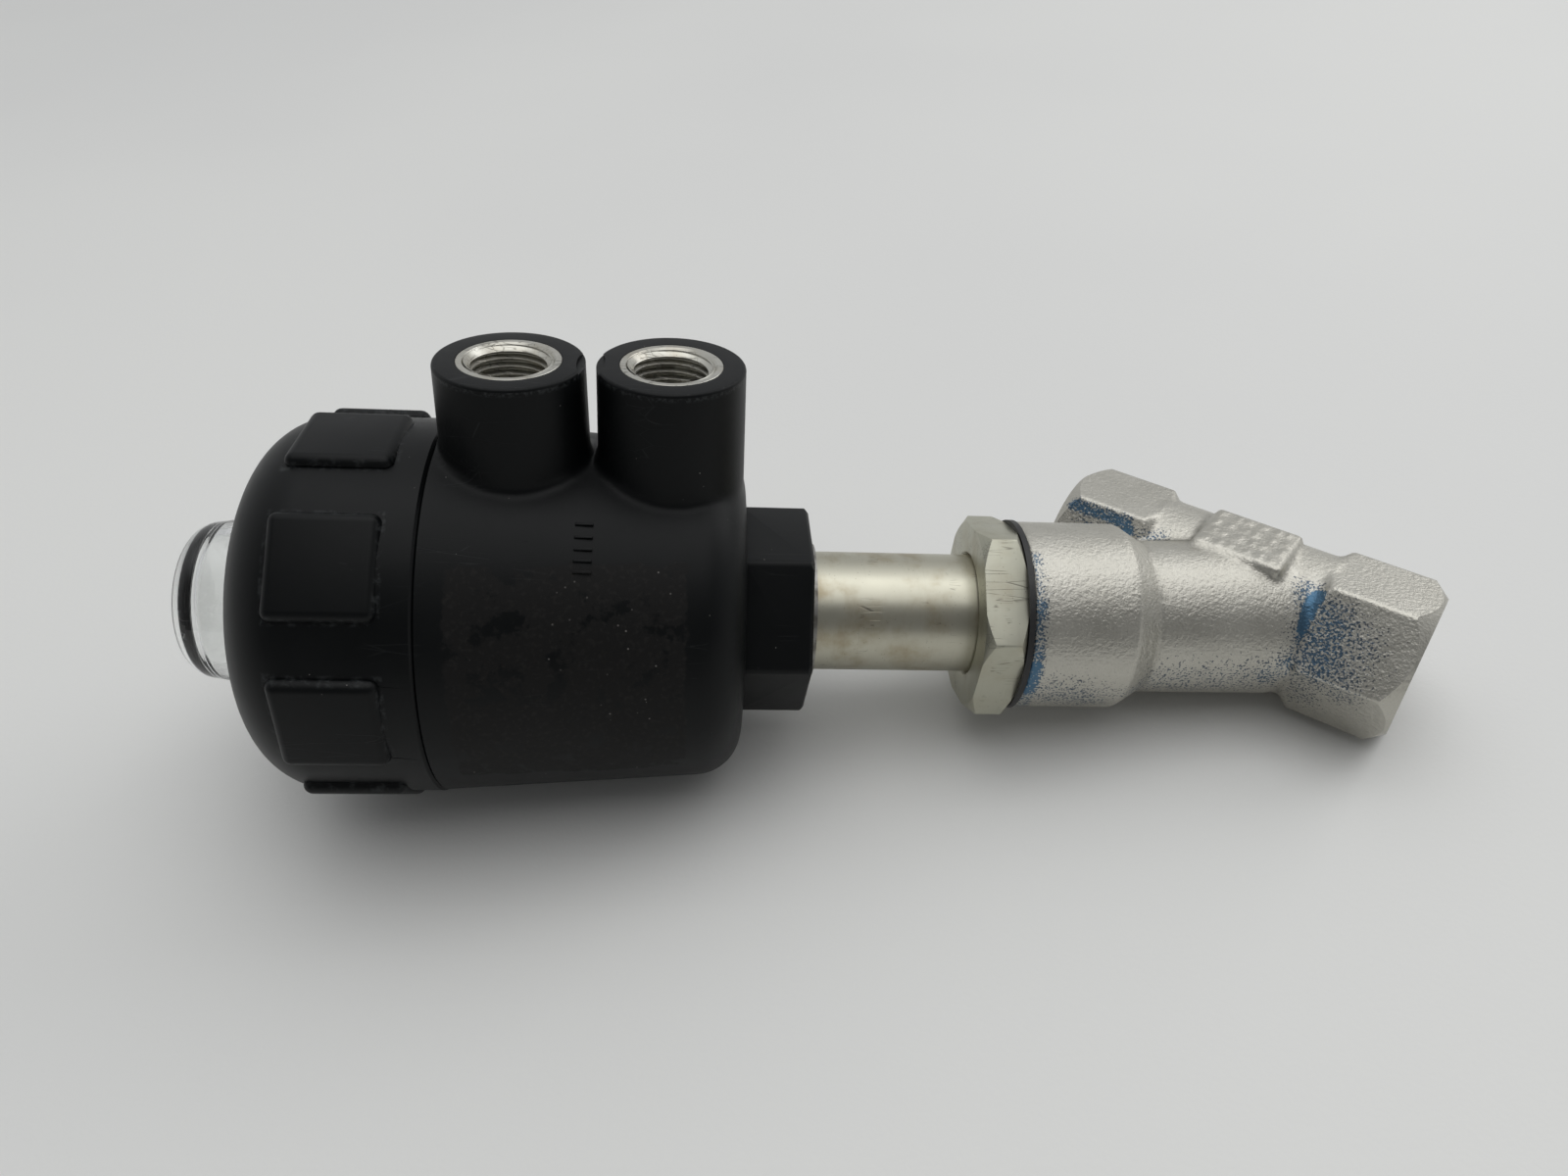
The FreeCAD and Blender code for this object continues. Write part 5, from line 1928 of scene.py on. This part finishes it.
# ---------------------------------------------------------------- pieces that the frame's own nodes show
@dataclass
class FramePieces:
    """Finishes for the nodes whose shape is right as it is, by their slot in the record."""

    skipped: tuple = ()

    def finishes(self) -> dict:
        """Makes one finish for each slot.

        Returns:
            The materials by slot.
        """
        return {
            Slot.CAST.value: TurnedSteel("machined_casting", rough=0.34, marks=0.3).material(),
            Slot.TURNED.value: TurnedSteel("turned_stainless_tube", colour=(0.50, 0.485, 0.40, 1), rough=0.34, marks=0.10, tint=0.75, lay=0.004 * MM).material(),
            Slot.BRASS.value: PlainMetal("nickel_plating", (0.60, 0.57, 0.50, 1), (0.38, 0.35, 0.28, 1)).material(),
            Slot.SPRING.value: PlainMetal("spring_wire", (0.34, 0.33, 0.31, 1), (0.16, 0.15, 0.13, 1), 0.38).material(),
            Slot.ZINC.value: PlainMetal("zinc_plating", (0.62, 0.62, 0.60, 1), (0.45, 0.44, 0.40, 1), 0.34).material(),
            Slot.NYLON.value: MouldedNylon("piston_nylon").material(),
            Slot.FLUOR.value: SoftPlastic("white_fluoropolymer", (0.78, 0.77, 0.73, 1), (0.62, 0.60, 0.55, 1), 0.42).material(),
            Slot.RUBBER.value: SoftPlastic("seal_rubber", (0.012, 0.012, 0.013, 1), (0.030, 0.030, 0.028, 1), 0.52).material(),
            Slot.CLEAR.value: ClearCap("clear_polycarbonate_part").material(),
            Slot.WHITE.value: SoftPlastic("indicator_plastic", (0.82, 0.82, 0.80, 1), (0.70, 0.69, 0.65, 1), 0.38).material(),
        }

    def dress(self) -> dict:
        """Puts each shown node in its finish.

        Returns:
            The materials by slot, for pieces that share them.
        """
        looks = self.finishes()
        slots = {s["node"]: s["material_slot"] for s in frame["record"]["subparts"]}
        for name, node in frame["nodes"].items():
            if node.hide_render:
                continue
            node.data.materials.clear()
            node.data.materials.append(looks[slots[name]])
            for face in node.data.polygons:
                face.use_smooth = True
        return looks


# ---------------------------------------------------------------- studio
@dataclass
class Studio:
    """A pale floor under the resting valve, soft light and the camera."""

    floor_size: float = 12.0
    camera_place: tuple = (-0.12699, -0.15016, 0.11453)
    camera_right: tuple = (0.9969, -0.0527, 0.0581)
    camera_up: tuple = (-0.0191, 0.5562, 0.8308)
    lens: float = 25.64
    sensor: float = 36.0
    floor_colour: tuple = (0.75, 0.75, 0.735, 1)
    wall_light: float = 0.56
    ceiling_light: float = 1.14
    viewer_light: float = 0.31

    def points(self, node: str) -> np.ndarray:
        """Reads a node's points in the row frame.

        Args:
            node: the node's name.

        Returns:
            The points.
        """
        mesh = frame["nodes"][node].data
        points = np.zeros(len(mesh.vertices) * 3)
        mesh.vertices.foreach_get("co", points)
        return points.reshape(-1, 3)

    def resting_plane(self) -> tuple:
        """Finds the plane through the lowest points of the cover and of the two port hexagons.

        Returns:
            A point of the plane and its upward normal.
        """
        body = self.points("valve_body")
        depth = -(body @ np.array(FLOW))
        feet = [self.points("actuator_cover"), body[depth < 16 * MM], body[depth > 51 * MM]]
        up = np.array([0.0, 0.0, 1.0])
        for _ in range(12):
            low = [part[np.argmin(part @ up)] for part in feet]
            up = np.cross(low[1] - low[0], low[2] - low[0])
            up = up / np.linalg.norm(up) * (1 if up[2] > 0 else -1)
        drop = min(float((part @ up).min()) for part in feet)
        LOG.info("resting plane: up %s, drop %.5f", np.round(up, 4), drop)
        return Vector(up * drop), Vector(up)

    def paper(self) -> bpy.types.Material:
        """The floor's matt paper.

        Returns:
            The material.
        """
        sheet = Sheet("pale_paper")
        cloud = sheet.noise(0.35, 3.0)
        fine = sheet.noise(0.9 * MM, 3.0)
        colour = sheet.mixed(sheet.rise(cloud, 0.35, 0.65), self.floor_colour, (0.78, 0.78, 0.76, 1))
        return sheet.finish(colour, 0.75, sheet.relief(fine, 0.03 * MM))

    def floor(self) -> None:
        """Lays the floor under the valve."""
        point, up = self.resting_plane()
        clear_selection()
        bpy.ops.mesh.primitive_plane_add(size=self.floor_size)
        plane = bpy.context.object
        plane.name = "floor"
        turn = up.to_track_quat("Z", "Y").to_matrix().to_4x4()
        plane.data.transform(Matrix.Translation(point) @ turn)
        plane.data.materials.append(self.paper())

    def lamp(self, name: str, place: tuple, size: float, power: float, aim: Vector) -> None:
        """Hangs a square soft light.

        Args:
            name: its name.
            place: where it hangs.
            size: its side.
            power: its power in watts.
            aim: the point that it faces.
        """
        data = bpy.data.lights.new(name, "AREA")
        data.shape = "SQUARE"
        data.size = size
        data.energy = power
        lamp = bpy.data.objects.new(name, data)
        lamp.location = place
        lamp.rotation_mode = "QUATERNION"
        lamp.rotation_quaternion = (aim - Vector(place)).to_track_quat("-Z", "Y")
        bpy.context.scene.collection.objects.link(lamp)

    def room(self) -> bpy.types.World:
        """The room's light: bright above and behind, dark where the viewer stands.

        Returns:
            The world.
        """
        world = bpy.data.worlds.new("studio")
        world.use_nodes = True
        nodes, links = world.node_tree.nodes, world.node_tree.links
        background = next(n for n in nodes if n.type == "BACKGROUND")
        way = nodes.new("ShaderNodeTexCoord").outputs["Generated"]
        viewer = nodes.new("ShaderNodeVectorMath")
        viewer.operation = "DOT_PRODUCT"
        links.new(way, viewer.inputs[0])
        viewer.inputs[1].default_value = Vector((-0.08, -0.90, 0.42)).normalized()
        shade = nodes.new("ShaderNodeMapRange")
        shade.interpolation_type = "SMOOTHSTEP"
        links.new(viewer.outputs["Value"], shade.inputs["Value"])
        for name, value in (("From Min", 0.15), ("From Max", 0.80), ("To Min", 1.0), ("To Max", self.viewer_light)):
            shade.inputs[name].default_value = value
        height = nodes.new("ShaderNodeSeparateXYZ")
        links.new(way, height.inputs[0])
        sky = nodes.new("ShaderNodeMapRange")
        sky.interpolation_type = "SMOOTHSTEP"
        links.new(height.outputs[2], sky.inputs["Value"])
        for name, value in (("From Min", 0.60), ("From Max", 0.98), ("To Min", self.wall_light), ("To Max", self.ceiling_light)):
            sky.inputs[name].default_value = value
        both = nodes.new("ShaderNodeMath")
        both.operation = "MULTIPLY"
        links.new(shade.outputs["Result"], both.inputs[0])
        links.new(sky.outputs["Result"], both.inputs[1])
        links.new(both.outputs[0], background.inputs["Strength"])
        background.inputs["Color"].default_value = (0.97, 0.985, 1.0, 1)
        return world

    def light(self) -> None:
        """Sets the room's light and the soft lamps."""
        bpy.context.scene.world = self.room()
        middle = Vector((-0.1, 0.0, 0.0))
        self.lamp("overhead", (-0.12, -0.24, 1.25), 1.25, 5.2, middle)
        self.lamp("window", (0.9, 0.5, 0.9), 0.8, 3.0, middle)
        bpy.context.scene.view_settings.view_transform = "Standard"

    def camera(self) -> None:
        """Sets the camera."""
        right, up = Vector(self.camera_right), Vector(self.camera_up)
        right.normalize()
        back = right.cross(up).normalized()
        up = back.cross(right)
        data = bpy.data.cameras.new("camera")
        data.sensor_width = self.sensor
        data.lens = self.lens
        data.clip_start = 0.005
        camera = bpy.data.objects.new("camera", data)
        turn = Matrix((right, up, back)).transposed().to_4x4()
        camera.matrix_world = Matrix.Translation(Vector(self.camera_place)) @ turn
        bpy.context.scene.collection.objects.link(camera)
        bpy.context.scene.camera = camera

    def build(self) -> None:
        """Sets up the whole studio."""
        self.floor()
        self.light()
        self.camera()


def main() -> None:
    """Builds the studio and every piece, in order."""
    logging.basicConfig(level=logging.INFO, format="%(name)s %(message)s")
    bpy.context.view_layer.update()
    Studio().build()
    body = ValveBody()
    body.dress(body.build())
    bonnet = Bonnet()
    bonnet.dress(bonnet.build())
    housing = Housing()
    housing.dress(housing.build())
    cover = Cover()
    cover.dress(cover.build())
    dome = Dome()
    dome.dress(dome.build())
    insert = TurnedSteel("insert_steel", colour=(0.55, 0.54, 0.49, 1), rough=0.30, marks=0.4, tint=0.4).material()
    for x, name in zip(housing.ports, ("spring_side_port_insert", "air_side_port_insert")):
        port = PilotPort(x, name + "_shell")
        port.dress(port.build(), insert)
    wire = PlainMetal("closing_spring_wire", (0.34, 0.33, 0.31, 1), (0.16, 0.15, 0.13, 1), 0.38).material()
    for spring in (
        ClosingSpring("outer_spring", 19.0 * MM, 1.7 * MM, 6),
        ClosingSpring("inner_spring", 12.6 * MM, 1.2 * MM, 9),
    ):
        spring.dress(spring.build(), wire)
    FramePieces().dress()


if __name__ == "__main__":
    main()
